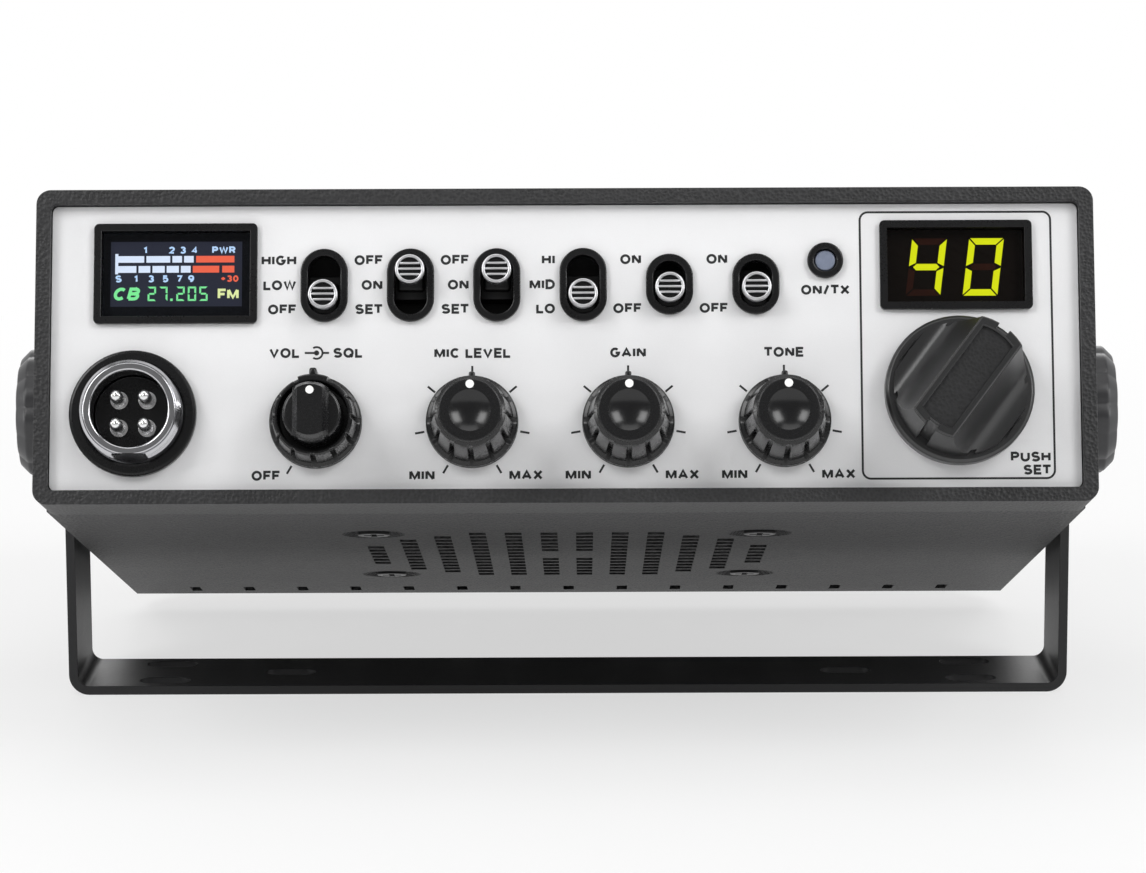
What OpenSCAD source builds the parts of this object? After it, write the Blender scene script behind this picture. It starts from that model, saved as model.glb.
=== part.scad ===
// CB radio on a tilting table bracket.
// Millimetres. The bracket's base stands on z = 0 with its middle at the origin, x runs to the
// right and y runs away from the viewer. The radio hangs on two thumbscrews and rests nose up.

/* [Case] */
// Width of the front frame
frame_w = 170; // [166:1:185]
// Height of the front frame
frame_h = 51; // [50:0.5:58]
// Depth from the front frame to the rear edge of the covers
case_d = 150; // [140:1:180]
// Depth of the front frame moulding
frame_d = 14; // [12:0.5:17]
// Corner radius of the front frame
frame_r = 2.3; // [1:0.1:4]
// Width of the rim around the face plate
rim_w = 2.3; // [1.8:0.1:3]
// Wall of the frame behind its ledge
frame_wall = 1.8; // [1.4:0.1:2.2]
// Width of the ledge behind the face plate
ledge_w = 1.6; // [1:0.1:2.5]
// Thickness of that ledge
ledge_t = 2; // [1.5:0.1:3]
// Distance of the face plate behind the frame's front
plate_recess = 2; // [1:0.1:3]
// Thickness of the face plate
plate_t = 1.5; // [1:0.1:2]
// Step from the frame's outline in to the covers
cover_step = 0.5; // [0.2:0.1:1]
// Sheet thickness of the covers
cover_t = 1; // [0.8:0.1:1.4]
// Height of the covers' side flanges
flange_h = 12; // [9:0.5:14]
// Thickness of the chassis side walls
wall_t = 3; // [2.6:0.1:4]

/* [Bracket] */
// Height of the tilt axis above the table
pivot_z = 49; // [45:0.5:60]
// Distance of the tilt axis behind the frame's front
pivot_y = 75; // [60:1:85]
// Tilt of the radio at rest, nose up, in degrees
rest_tilt = 17.5; // [0:0.5:19]
// Depth of the bracket strap
strap_d = 22; // [18:1:26]
// Sheet thickness of the bracket strap
strap_t = 1.6; // [1.2:0.1:2.5]
// Inner radius of the strap's bends
bend_r = 2; // [1:0.5:5]
// Width of the mounting slots
slot_w = 4.5; // [3.5:0.5:6]
// Length of the mounting slots
slot_l = 9; // [7:0.5:12]
// Spacing of the outer slots across the base
slot_x = 144; // [130:1:150]
// Spacing of the outer slots from front to back
slot_y = 13; // [11:0.5:13.5]
// Spacing of the two middle slots
mid_slot_x = 100; // [80:1:110]

/* [Thumbscrews] */
// Thread diameter of the thumbscrew studs
stud_d = 5; // [4:0.5:6]
// Diameter of the thumbscrew knobs over their lobes
thumb_d = 23; // [18:0.5:28]
// Thickness of the thumbscrew knobs
thumb_t = 8.5; // [6:0.5:12]
// Number of lobes on a thumbscrew knob
thumb_lobes = 8; // [5:1:10]
// Thickness of the rubber washers beside the case
rubber_t = 2.4; // [2:0.1:4]
// Diameter of the rubber washers
rubber_d = 16; // [12:0.5:20]
// Thickness of the steel washers under the thumbscrews
washer_t = 0.8; // [0.5:0.1:1.5]
// Diameter of the steel washers
washer_d = 14; // [11:0.5:18]
// Depth of the threaded bosses inside the case
boss_l = 6; // [4:0.5:9]
// Diameter of the threaded bosses
boss_d = 10; // [8:0.5:12]

/* [Meter and channel displays] */
// Distance of the meter's middle from the plate's left edge
meter_inset = 20; // [18:0.5:22]
// Distance of the meter's middle below the plate's top edge
meter_drop = 11.1; // [10.5:0.1:12]
// Opening width of the meter bezel
meter_w = 23.9; // [20:0.1:25]
// Opening height of the meter bezel
meter_h = 13.9; // [12:0.1:15]
// Distance of the channel controls from the plate's right edge
channel_inset = 19.7; // [18:0.1:21]
// Distance of the channel display below the plate's top edge
channel_drop = 10.1; // [9.5:0.1:10.5]
// Opening width of the channel bezel
channel_w = 22.1; // [18:0.1:24]
// Opening height of the channel bezel
channel_h = 12.1; // [11:0.1:12.8]
// Width of a display bezel's lip
bezel_lip = 1.2; // [1:0.1:1.6]
// How far the bezels stand out of the plate
bezel_proud = 1; // [0.6:0.1:1.6]
// Thickness of a display window
window_t = 0.8; // [0.5:0.1:1.2]
// Thickness of the display modules
display_t = 3; // [2:0.1:5]

/* [Status light] */
// Distance of the status light from the last switch
light_gap = 11.2; // [9:0.1:11.5]
// Distance of the status light below the plate's top edge
light_drop = 9.3; // [7:0.1:12]
// Diameter of the light's ring
light_ring_d = 5.8; // [5:0.1:7]
// Diameter of the light's lens
light_d = 3.4; // [3:0.1:4]

/* [Microphone socket] */
// Distance of the socket from the plate's left edge
mic_inset = 13.4; // [12.5:0.1:15]
// Distance of the socket above the plate's bottom edge
mic_rise = 12.3; // [12:0.1:13]
// Thread diameter of the socket shell
mic_d = 16; // [14:0.5:17]
// Bore of the socket shell
mic_bore_d = 12.6; // [11:0.1:13]
// How far the shell stands out of the plate
mic_proud = 7; // [5:0.5:9]
// Diameter of the black ring round the socket
mic_ring_d = 20.4; // [19:0.1:22]
// Thickness of the black ring
mic_ring_t = 2; // [1.5:0.1:3]
// Spacing of the four pins
pin_pitch = 4.5; // [4:0.1:5]
// Diameter of a pin
pin_d = 2; // [1.6:0.1:2.2]
// Height of the pins above the insulator
pin_l = 6.5; // [4:0.5:7]
// Width of the key slot in the shell
key_w = 4.6; // [3:0.1:6]

/* [Switches] */
// Distance of the first switch from the plate's left edge
switch_inset = 43.9; // [42:0.1:45]
// Distance of the switches below the plate's top edge
switch_drop = 13.1; // [12:0.1:14]
// Distance of the last switch from the plate's right edge
switch_right = 51.9; // [50:0.1:54]
// Width of a switch opening
switch_w = 5.2; // [5:0.1:6]
// Width of the lip round a switch opening
switch_lip = 1.2; // [0.8:0.1:1.5]
// Travel of a three-position switch
long_travel = 4; // [3:0.1:4.4]
// Travel of a two-position switch
short_travel = 2; // [1.5:0.1:3]
// Diameter of a lever's cap
cap_d = 4.6; // [4:0.1:4.8]
// Thickness of a lever's cap
cap_t = 2.2; // [1.5:0.1:3]
// How far the levers stand out of the plate
lever_proud = 4.6; // [4:0.1:6]
// Length of the slider behind the plate
slider_l = 8; // [6:0.5:8.5]

/* [Knobs] */
// Distance of the first knob from the plate's left edge
knob_inset = 42.7; // [41:0.1:44]
// Distance of the knobs above the plate's bottom edge
knob_rise = 10.7; // [10:0.1:11.5]
// Distance of the last small knob from the plate's right edge
knob_right = 47.5; // [46:0.1:50]
// Diameter of the small knobs' skirts
knob_d = 14.8; // [13:0.1:16]
// Height of the small knobs above the plate
knob_h = 15; // [13:0.5:18]
// Diameter of the small knobs' top faces
knob_top_d = 10; // [9:0.1:11]
// Number of lobes round a small knob
knob_lobes = 11; // [9:2:13]
// Thickness of the knobs' skirts
skirt_h = 2.4; // [1.8:0.1:3]
// Gap between a knob and the plate
knob_lift = 0.8; // [0.6:0.1:1.5]
// Diameter of the dimple in a knob's top
dimple_d = 6.6; // [5:0.1:8]
// Height of the outer ring knob above the plate
ring_h = 9.4; // [8:0.1:10]
// Bore of the outer ring knob
ring_bore_d = 11; // [10.4:0.1:11.4]
// Diameter of the inner volume knob
inner_d = 9.4; // [8.6:0.1:9.8]
// Height of the inner volume knob above the plate
inner_h = 16.5; // [14:0.5:19]
// Width of the inner knob's grip bar
inner_bar_w = 5.5; // [4:0.1:7]
// Diameter of the control shafts
shaft_d = 6; // [5.5:0.1:6.4]
// Diameter of the inner volume shaft
inner_shaft_d = 3.4; // [3:0.1:4]
// Diameter of the threaded control bushes
bush_d = 8; // [7.6:0.1:9]

/* [Channel knob] */
// Distance of the channel knob above the plate's bottom edge
channel_rise = 15.3; // [14.5:0.1:15.5]
// Diameter of the channel knob's skirt
channel_knob_d = 23.8; // [20:0.1:24.2]
// Height of the channel knob above the plate
channel_knob_h = 18; // [15:0.5:22]
// Width of its grip bar at the top
grip_w = 7.6; // [6:0.1:9]
// Angle of the grip bar clockwise from upright
grip_turn = 37; // [0:1:180]
// Gap between the channel knob and the plate
push_gap = 1.5; // [1.3:0.1:2.5]
// Push travel of the channel knob
push_travel = 0.8; // [0.4:0.1:1]

/* [Inside] */
// Distance from the frame's ledge to the front circuit board
board_gap = 9; // [8.5:0.5:11]
// Thickness of the circuit boards
board_t = 1.6; // [1:0.1:2.4]
// Distance between the front board and the chassis front wall
standoff_l = 4; // [3:0.5:8]
// Thickness of the chassis front wall
front_wall_t = 2; // [1.5:0.1:3]
// Depth of the rear heat sink
sink_d = 16; // [14:0.5:20]
// Thickness of the heat sink's base
sink_base = 6; // [4:0.5:8]
// Plain width at each end of the heat sink, for the connectors
fin_edge = 43.5; // [41.5:0.5:56]
// Spacing of the heat sink fins
fin_pitch = 6; // [4:0.5:8]
// Thickness of a fin
fin_t = 2.2; // [1.5:0.1:3]

/* [Speaker] */
// Distance of the speaker's middle behind the frame's front
speaker_y = 81.5; // [75:0.5:85]
// Side of the speaker's square flange
speaker_w = 78; // [76:0.5:84]
// Distance of the speaker's screws from the flange's edges
speaker_screw_edge = 6; // [5:0.5:7]
// Height of the speaker's basket
basket_h = 13; // [10:0.5:15]
// Diameter of the speaker's magnet
magnet_d = 44; // [30:1:50]
// Thickness of the speaker's magnet
magnet_t = 8; // [6:0.5:9]
// Distance of the grille's round field inside the speaker's flange
grille_edge = 3; // [2.5:0.5:9]
// Number of grille columns
grille_columns = 12; // [8:2:14]
// Spacing of the slots in a column
row_pitch = 5.1; // [4.5:0.1:7]
// Width of a grille slot
grille_slot_w = 2.9; // [2:0.1:4]
// Length of a grille slot
grille_slot_l = 3.7; // [2.5:0.1:4]
// Number of vent slots along the rear edge
vent_count = 15; // [9:2:15]
// Spacing of the vent slots
vent_pitch = 10.3; // [6:0.1:11]
// Width of a vent slot
vent_w = 2; // [1.5:0.1:3]
// Length of a vent slot
vent_l = 7; // [4:0.5:9]
// Distance of the vents from the rear edge
vent_inset = 9; // [7:0.5:12]

/* [Rear connectors] */
// Distance of the antenna socket from the heat sink's right end
antenna_edge = 23.5; // [20:0.5:27]
// Thread diameter of the antenna socket
antenna_d = 15.875; // [14:0.005:16]
// Length of the antenna socket's barrel
antenna_l = 16; // [12:0.5:18]
// Distance of the power inlet from the heat sink's left end
power_edge = 15.5; // [12:0.5:19]
// Distance of the jacks from the heat sink's left end
jack_edge = 37.5; // [36:0.5:38.5]
// Bore of the jacks
jack_bore_d = 3.6; // [3.5:0.1:6.4]

/* [Fits] */
// Sliding clearance of a shaft in its bush
shaft_fit = 0.05; // [0.02:0.01:0.09]
// Gap between parts that are put together
seat_gap = 0.1; // [0.05:0.01:0.2]
// Free space round parts that slide or turn
free_gap = 0.3; // [0.2:0.05:0.5]

/* [Hidden] */
$fn = 64;
more = 1;

// Case, measured from the frame's front (depth) and from its middle (height)
body_w = frame_w - 2 * cover_step;
body_h = frame_h - 2 * cover_step;
inner_w = body_w - 2 * wall_t;
inner_h2 = body_h / 2 - cover_t;
pocket_w = frame_w - 2 * rim_w;
pocket_h = frame_h - 2 * rim_w;
plate_w = pocket_w - 2 * seat_gap;
plate_h = pocket_h - 2 * seat_gap;
plate_r = 1;
plate_back = plate_recess + plate_t;
ledge_back = plate_back + ledge_t;
board_front = ledge_back + board_gap;
board_back = board_front + board_t;
front_wall = board_back + standoff_l;
sink_front = case_d - sink_d;
tongue_w = frame_w - 2 * frame_wall - 2 * seat_gap;
tongue_h = frame_h - 2 * frame_wall - 2 * seat_gap;
rail_w = 5;
rail_t = 3;
board_lift = 2;
main_board_z = boss_d / 2 + board_lift;
board_edge = 1;
main_board_front = front_wall + front_wall_t + board_edge;
main_board_back = sink_front - board_edge;

// Depths measured out of the plate's front face
back_z = -plate_t;
board_z = plate_recess - board_front;

// Places on the plate
meter_x = -plate_w / 2 + meter_inset;
meter_y = plate_h / 2 - meter_drop;
channel_x = plate_w / 2 - channel_inset;
channel_y = plate_h / 2 - channel_drop;
channel_knob_y = -plate_h / 2 + channel_rise;
mic_x = -plate_w / 2 + mic_inset;
mic_y = -plate_h / 2 + mic_rise;
knob_y = -plate_h / 2 + knob_rise;
knob_count = 4;
knob_pitch = (plate_w - knob_inset - knob_right) / (knob_count - 1);
function knob_x(i) = -plate_w / 2 + knob_inset + i * knob_pitch;
switch_count = 6;
long_switches = 4;
switch_y = plate_h / 2 - switch_drop;
switch_pitch = (plate_w - switch_inset - switch_right) / (switch_count - 1);
function switch_x(i) = -plate_w / 2 + switch_inset + i * switch_pitch;
function travel(i) = i < long_switches ? long_travel : short_travel;
lever_up = [false, true, true, false, false, false];
function lever_y(i) = switch_y + (lever_up[i] ? 0.5 : -0.5) * travel(i);
function opening_l(i) = switch_w + travel(i) + free_gap;
light_x = switch_x(switch_count - 1) + light_gap;
light_y = plate_h / 2 - light_drop;

// Controls
stem_d = cap_d - 0.8;
hub_wall = 0.6;
lens_seat = 0.5;
shaft_r = shaft_d / 2;
bush_out = 2;
bush_room = 0.4;
pot_h = 8;
pot_d = 13.6;
shoulder_d = bush_d + 3;
shaft_tail = 2;
shaft_in = board_z + shaft_tail;
dual_floor = 5;
shaft_grip = 5;
rotor_t = 3;
rotor_wall = 2;
rotor_d = shaft_d + 2 * rotor_wall;
encoder_wall = 2.5;
encoder_roof = 1.5;
rotor_front = board_z + pot_h - encoder_roof;
encoder_w = rotor_d + 2 * encoder_wall;

// Bracket and thumbscrews
rubber_seat = body_w / 2 + shaft_fit;
arm_in = rubber_seat + rubber_t + shaft_fit;
arm_out = arm_in + strap_t;
arm_top = pivot_z + strap_d / 2;
stud_in = body_w / 2 - wall_t - boss_l + 1;
washer_seat = arm_out + shaft_fit;
thumb_seat = washer_seat + washer_t;

// Screws
screw_d = 3;
head_d = 5.5;
head_t = 1.8;
case_screw_inset = 16;
dish_d = 11;
dish_floor_d = 7.4;
dish_depth = 1.6;
speaker_flange_t = 1.5;
speaker_seat = -body_h / 2 + cover_t + dish_depth;

// Microphone socket
mic_nut_t = 3;
neck_cut = 0.3;
neck_top = mic_ring_t + 0.5;
key_depth = 2.5;
key_cut = (mic_d - mic_bore_d) / 4;
pin_top = mic_proud - 0.5;
insulator_top = pin_top - pin_l;
pin_foot_d = pin_d + 0.9;

// Switches behind the plate
slider_t = 5;
slider_w = switch_w + 0.4;
switch_side = 1.4;

// Speaker and its grille
speaker_screw_x = speaker_w - 2 * speaker_screw_edge;
grille_r = speaker_w / 2 - grille_edge;
column_pitch = 2 * (grille_r + grille_slot_w / 4) / grille_columns;
basket_r = speaker_w / 2 - 1.5;
basket_back_r = magnet_d / 2 + 1;
basket_t = 1;
cone_t = 0.6;
dome_r = 10;

// Chassis front wall
cable_margin = 16;
front_screw_side = 4.5;
front_screw_x = inner_w - 2 * front_screw_side;
front_screw_edge = 6;
front_screw_y = 2 * inner_h2 - 2 * front_screw_edge;

// Heat sink and the pieces on the main board
fin_zone = inner_w - 2 * fin_edge;
transistor_w = 10;
transistor_t = 4.5;
transistor_h = 14;
transistor_pitch = fin_zone / 3.5;
capacitor_d = 8;
capacitor_h = 12;
capacitor_columns = 5;
capacitor_pitch = inner_w / (capacitor_columns + 1);
board_room = main_board_back - main_board_front;

// Rear connectors
antenna_x = inner_w / 2 - antenna_edge;
power_x = inner_w / 2 - power_edge;
jack_x = inner_w / 2 - jack_edge;
power_core = [11, 8];
power_shroud = [15, 12];
power_l = 9;
jack_spacing = 12;
jack_z = -10;
jack_wall = 1.2;
jack_d = jack_bore_d + 2 * jack_wall;
jack_nut_d = jack_d + 2 * jack_wall;
jack_nut_t = 2;
jack_l = 14;
antenna_flange = 24;
antenna_flange_t = 2;

// Places a case, given by width, depth and height, at the bracket's rest tilt.
module in_case() {
  translate([0, 0, pivot_z]) rotate([-rest_tilt, 0, 0]) translate([0, -pivot_y, 0]) children();
}

// Places a part on the face plate: x to the right, y up and z out of the plate's front.
module on_face(x, y) {
  in_case() translate([x, plate_recess, y]) rotate([90, 0, 0]) children();
}

// Places a part on the heat sink's base: x to the right and z towards the rear.
module on_rear(x, y) {
  in_case() translate([x, sink_front + sink_base, y]) rotate([-90, 0, 0]) children();
}

// Extrudes an outline of width and height from one depth to another.
module slab(from, to) {
  translate([0, to, 0]) rotate([90, 0, 0]) linear_extrude(to - from) children();
}

// Extrudes an outline of width and depth from one height to another.
module layer(from, to) {
  translate([0, 0, from]) linear_extrude(to - from) children();
}

// Places a part on the tilt axis at the right: z runs outwards from the case's middle.
module on_axis() {
  translate([0, 0, pivot_z]) rotate([0, 90, 0]) children();
}

module rounded(w, h, r) {
  square([w, h - 2 * r], center = true);
  square([w - 2 * r, h], center = true);
  for (x = [-1, 1], y = [-1, 1]) translate([x * (w / 2 - r), y * (h / 2 - r)]) circle(r);
}

module stadium(w, l) {
  square([w, l - w], center = true);
  for (s = [-1, 1]) translate([0, s * (l - w) / 2]) circle(d = w);
}

// A ring between two heights.
module tube(d_out, d_in, from, to) {
  translate([0, 0, from]) difference() {
    cylinder(d = d_out, h = to - from);
    translate([0, 0, -more]) cylinder(d = d_in, h = to - from + 2 * more);
  }
}

module disc(d, from, to) {
  translate([0, 0, from]) cylinder(d = d, h = to - from);
}

// Holes that several parts share.
module four_corners(x, y) {
  for (i = [-1, 1], j = [-1, 1]) translate([i * x / 2, j * y / 2]) children();
}

module mounting_bracket() {
  color("#1c1c1c") difference() {
    intersection() {
      translate([0, strap_d / 2, 0]) rotate([90, 0, 0]) linear_extrude(strap_d) difference() {
        strap_profile(2 * arm_out, 0, bend_r + strap_t);
        strap_profile(2 * arm_in, strap_t, bend_r);
      }
      translate([-arm_out - more, 0, 0]) rotate([90, 0, 90])
        linear_extrude(2 * (arm_out + more)) {
          translate([-strap_d / 2, 0]) square([strap_d, pivot_z]);
          translate([0, pivot_z]) circle(d = strap_d);
        }
    }
    on_axis() translate([0, 0, -arm_out - more])
      cylinder(d = stud_d + 2 * free_gap, h = 2 * (arm_out + more));
    four_corners(slot_x, slot_y) base_slot();
    for (s = [-1, 1]) translate([s * mid_slot_x / 2, 0]) base_slot();
  }
}

// Cross-section of the strap, open at the top.
module strap_profile(w, from, r) {
  translate([-w / 2, from + r]) square([w, arm_top - from - r + more * from]);
  translate([-w / 2 + r, from]) square([w - 2 * r, r]);
  for (s = [-1, 1]) translate([s * (w / 2 - r), from + r]) circle(r);
}

module base_slot() {
  translate([0, 0, -more]) linear_extrude(strap_t + 2 * more) rotate(90) stadium(slot_w, slot_l);
}

module front_frame() {
  color("#3a3a3a") in_case() difference() {
    slab(0, frame_d) rounded(frame_w, frame_h, frame_r);
    slab(-more, plate_back) rounded(pocket_w, pocket_h, plate_r);
    slab(plate_recess, ledge_back + more)
      rounded(pocket_w - 2 * ledge_w, pocket_h - 2 * ledge_w, plate_r);
    slab(ledge_back, frame_d + more)
      square([frame_w - 2 * frame_wall, frame_h - 2 * frame_wall], center = true);
  }
}

module face_plate() {
  color("#ececec") in_case() slab(plate_recess, plate_back) difference() {
    rounded(plate_w, plate_h, plate_r);
    translate([meter_x, meter_y]) bezel_hub(meter_w, meter_h, seat_gap);
    translate([channel_x, channel_y]) bezel_hub(channel_w, channel_h, seat_gap);
    translate([light_x, light_y]) circle(d = light_d + 2 * hub_wall + 4 * seat_gap);
    translate([mic_x, mic_y]) circle(d = mic_d + 2 * seat_gap);
    for (i = [0 : switch_count - 1]) translate([switch_x(i), switch_y]) switch_hub(i, seat_gap);
    for (i = [0 : 3]) translate([knob_x(i), knob_y]) circle(d = bush_d + 2 * seat_gap);
    translate([channel_x, channel_knob_y]) circle(d = bush_d + 2 * seat_gap);
  }
}

// Outline of a display bezel where it passes through the plate.
module bezel_hub(w, h, gap) {
  square([w + 2 * (hub_wall + gap), h + 2 * (hub_wall + gap)], center = true);
}

// Outline of a switch bezel where it passes through the plate.
module switch_hub(i, gap) {
  stadium(switch_w + 2 * (hub_wall + gap), opening_l(i) + 2 * (hub_wall + gap));
}

module chassis() {
  color("#9a9da0") in_case() difference() {
    union() {
      for (s = [0, 1]) mirror([s, 0, 0]) {
        chassis_wall();
        chassis_rail();
        translate([inner_w / 2 - boss_l, pivot_y, 0]) rotate([0, 90, 0])
          cylinder(d = boss_d, h = boss_l + wall_t / 2);
      }
      slab(front_wall, front_wall + front_wall_t) difference() {
        square([inner_w + wall_t, 2 * inner_h2], center = true);
        square([inner_w - 2 * cable_margin, inner_h2], center = true);
      }
      slab(board_back, front_wall + front_wall_t / 2)
        four_corners(front_screw_x, front_screw_y) circle(d = head_d);
    }
    translate([-body_w / 2, pivot_y, 0]) rotate([0, 90, 0])
      cylinder(d = stud_d + 2 * shaft_fit, h = body_w);
    case_screw_holes(screw_d + 2 * shaft_fit);
    slab(board_back - more, front_wall + front_wall_t + more)
      four_corners(front_screw_x, front_screw_y) circle(d = screw_d + 2 * shaft_fit);
    layer(main_board_z - rail_t - more, main_board_z + more)
      main_screw_places() circle(d = screw_d + 2 * shaft_fit);
  }
}

// Right side wall, thinner where the covers' flanges lie on it and inside the front frame.
module chassis_wall() {
  x0 = inner_w / 2;
  slim = wall_t - cover_t - seat_gap;
  band = body_h - 2 * flange_h - 2 * seat_gap;
  translate([x0, frame_d, -inner_h2]) cube([slim, case_d - frame_d, 2 * inner_h2]);
  translate([x0, frame_d + seat_gap, -band / 2])
    cube([wall_t, case_d - frame_d - seat_gap, band]);
  translate([x0, ledge_back, -tongue_h / 2])
    cube([tongue_w / 2 - x0, frame_d - ledge_back + more, tongue_h]);
}

// Rail that carries the main circuit board.
module chassis_rail() {
  translate([inner_w / 2 - rail_w, front_wall, main_board_z - rail_t])
    cube([rail_w + wall_t / 2, sink_front - front_wall, rail_t]);
}

module main_screw_places() {
  translate([0, (main_board_front + main_board_back) / 2])
    four_corners(inner_w - head_d - 2 * free_gap, main_board_back - main_board_front - 2 * head_d)
      children();
}

// Screw axes through the cover flanges, on both sides.
module case_screw_holes(d) {
  case_screw_places() translate([0, 0, -wall_t - more]) cylinder(d = d, h = wall_t + 2 * more);
}

// Each place has z pointing out of the case's side.
module case_screw_places() {
  for (s = [0, 1]) mirror([s, 0, 0])
    for (y = [frame_d + case_screw_inset, case_d - case_screw_inset], z = [-1, 1])
      translate([body_w / 2, y, z * (body_h - flange_h) / 2]) rotate([0, 90, 0]) children();
}

// Panel with two flanges, drawn as the lower half of the case.
module cover_shell() {
  layer(-body_h / 2, -body_h / 2 + cover_t)
    translate([-body_w / 2, frame_d]) square([body_w, case_d - frame_d]);
  for (s = [0, 1]) mirror([s, 0, 0])
    translate([body_w / 2 - cover_t, frame_d, -body_h / 2])
      cube([cover_t, case_d - frame_d, flange_h]);
}

module vent_row() {
  for (i = [0 : vent_count - 1])
    translate([(i - (vent_count - 1) / 2) * vent_pitch, case_d - vent_inset])
      square([vent_w, vent_l], center = true);
}

module bottom_cover() {
  color("#2c2c2e") in_case() difference() {
    union() {
      cover_shell();
      speaker_screw_places() cylinder(d1 = dish_d + 2 * cover_t,
        d2 = dish_floor_d + 2 * cover_t, h = dish_depth + cover_t);
    }
    layer(-body_h / 2 - more, speaker_seat + more) {
      vent_row();
      translate([0, speaker_y]) grille_slots();
    }
    speaker_screw_places() {
      cylinder(d1 = dish_d, d2 = dish_floor_d, h = dish_depth);
      translate([0, 0, -more]) cylinder(d = dish_floor_d, h = dish_depth + more);
      cylinder(d = screw_d + 2 * seat_gap, h = dish_depth + cover_t + more);
    }
    case_screw_holes(screw_d + 2 * seat_gap);
  }
}

// Each place has z pointing up from the bottom cover's outside.
module speaker_screw_places() {
  translate([0, speaker_y, -body_h / 2])
    four_corners(speaker_screw_x, speaker_screw_x) children();
}

// Slots within a round field, with a solid spot in the middle for the speaker's dome.
module grille_slots() {
  rows = floor(grille_r / row_pitch);
  spot_r = 1.2 * row_pitch;
  for (i = [0 : grille_columns - 1], j = [-rows : rows - 1]) {
    x = (i - (grille_columns - 1) / 2) * column_pitch;
    y = (j + 0.5) * row_pitch;
    far = norm([abs(x), abs(y) + grille_slot_l / 2]);
    if (far < grille_r + row_pitch / 2 && norm([x, y]) > spot_r)
      translate([x, y]) square([grille_slot_w, grille_slot_l], center = true);
  }
}

module top_cover() {
  color("#2c2c2e") in_case() difference() {
    mirror([0, 0, 1]) cover_shell();
    layer(body_h / 2 - cover_t - more, body_h / 2 + more) vent_row();
    case_screw_holes(screw_d + 2 * seat_gap);
  }
}

module rear_heat_sink() {
  color("#6d7073") in_case() difference() {
    slab(sink_front, case_d)
      square([inner_w - 2 * seat_gap, 2 * (inner_h2 - seat_gap)], center = true);
    for (s = [0, 1]) mirror([s, 0, 0])
      translate([fin_zone / 2, sink_front + sink_base, -inner_h2])
        cube([inner_w / 2, sink_d, 2 * inner_h2]);
    for (i = [0 : floor(fin_zone / fin_pitch) - 1])
      translate([(i + 0.5) * fin_pitch - floor(fin_zone / fin_pitch) * fin_pitch / 2,
        sink_front + sink_base + sink_d / 2, 0])
        cube([fin_pitch - fin_t, sink_d, 2 * inner_h2], center = true);
    slab(sink_front - more, case_d) {
      translate([antenna_x, 0]) circle(d = antenna_d - 4);
      translate([-power_x, 0]) square(power_core, center = true);
      for (z = [-1, 1]) translate([-jack_x, jack_z + z * jack_spacing / 2])
        circle(d = jack_d + 2 * seat_gap);
    }
  }
}

module front_circuit_board() {
  color("#1f5c34") in_case() slab(board_front, board_back) difference() {
    square([inner_w - 2 * board_edge, 2 * (inner_h2 - board_edge)], center = true);
    four_corners(front_screw_x, front_screw_y) circle(d = screw_d + 2 * seat_gap);
  }
}

module main_circuit_board() {
  color("#1f5c34") in_case() layer(main_board_z, main_board_z + board_t) difference() {
    translate([-inner_w / 2 + seat_gap, main_board_front])
      square([inner_w - 2 * seat_gap, main_board_back - main_board_front]);
    main_screw_places() circle(d = screw_d + 2 * seat_gap);
  }
}

// Bezel with a lip on the plate and a hub through it.
module display_bezel(w, h) {
  difference() {
    union() {
      linear_extrude(bezel_proud) rounded(w + 2 * bezel_lip, h + 2 * bezel_lip, 0.8);
      translate([0, 0, back_z]) linear_extrude(plate_t) bezel_hub(w, h, 0);
    }
    translate([0, 0, back_z - more]) linear_extrude(plate_t + bezel_proud + 2 * more)
      square([w, h], center = true);
  }
}

// Clear pane just inside the bezel's opening.
module display_window(w, h) {
  translate([0, 0, back_z]) linear_extrude(window_t)
    square([w - 2 * seat_gap, h - 2 * seat_gap], center = true);
}

// Module seated on the back of the plate, behind the opening.
module display_module(w, h) {
  translate([0, 0, back_z - display_t]) linear_extrude(display_t)
    square([w + 2 * bezel_lip, h + 2 * bezel_lip], center = true);
}

module meter_bezel() {
  color("#151515") on_face(meter_x, meter_y) display_bezel(meter_w, meter_h);
}

module meter_window() {
  color("#303848") on_face(meter_x, meter_y) display_window(meter_w, meter_h);
}

module meter_display() {
  color("#16203c") on_face(meter_x, meter_y) display_module(meter_w, meter_h);
}

module channel_bezel() {
  color("#151515") on_face(channel_x, channel_y) display_bezel(channel_w, channel_h);
}

module channel_window() {
  color("#402020") on_face(channel_x, channel_y) display_window(channel_w, channel_h);
}

module channel_display() {
  color("#101010") on_face(channel_x, channel_y) display_module(channel_w, channel_h);
}

module status_light_ring() {
  color("#151515") on_face(light_x, light_y) {
    difference() {
      union() {
        disc(light_ring_d, 0, bezel_proud);
        disc(light_d + 2 * hub_wall + 2 * seat_gap, back_z, bezel_proud);
      }
      disc(light_d + 2 * seat_gap, back_z - more, bezel_proud + more);
    }
  }
}

module status_light() {
  color("#8090a8") on_face(light_x, light_y) {
    disc(light_d, back_z, bezel_proud - lens_seat);
    disc(light_d + 2 * hub_wall, board_z, back_z);
  }
}

module mic_socket_ring() {
  color("#151515") on_face(mic_x, mic_y) tube(mic_ring_d, mic_d + 2 * seat_gap, 0, mic_ring_t);
}

// Threaded shell with a nut behind the plate and a key slot at the bottom of its rim.
module mic_socket_shell() {
  color("#c8c8cc") on_face(mic_x, mic_y) difference() {
    union() {
      disc(mic_d, neck_top, mic_proud);
      disc(mic_d - 2 * neck_cut, back_z - mic_nut_t, neck_top);
      disc(mic_ring_d, back_z - mic_nut_t, back_z);
    }
    disc(mic_bore_d, back_z - mic_nut_t - more, mic_proud + more);
    translate([0, -mic_bore_d / 2, mic_proud])
      cube([key_w, 2 * key_cut, 2 * key_depth], center = true);
  }
}

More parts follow.
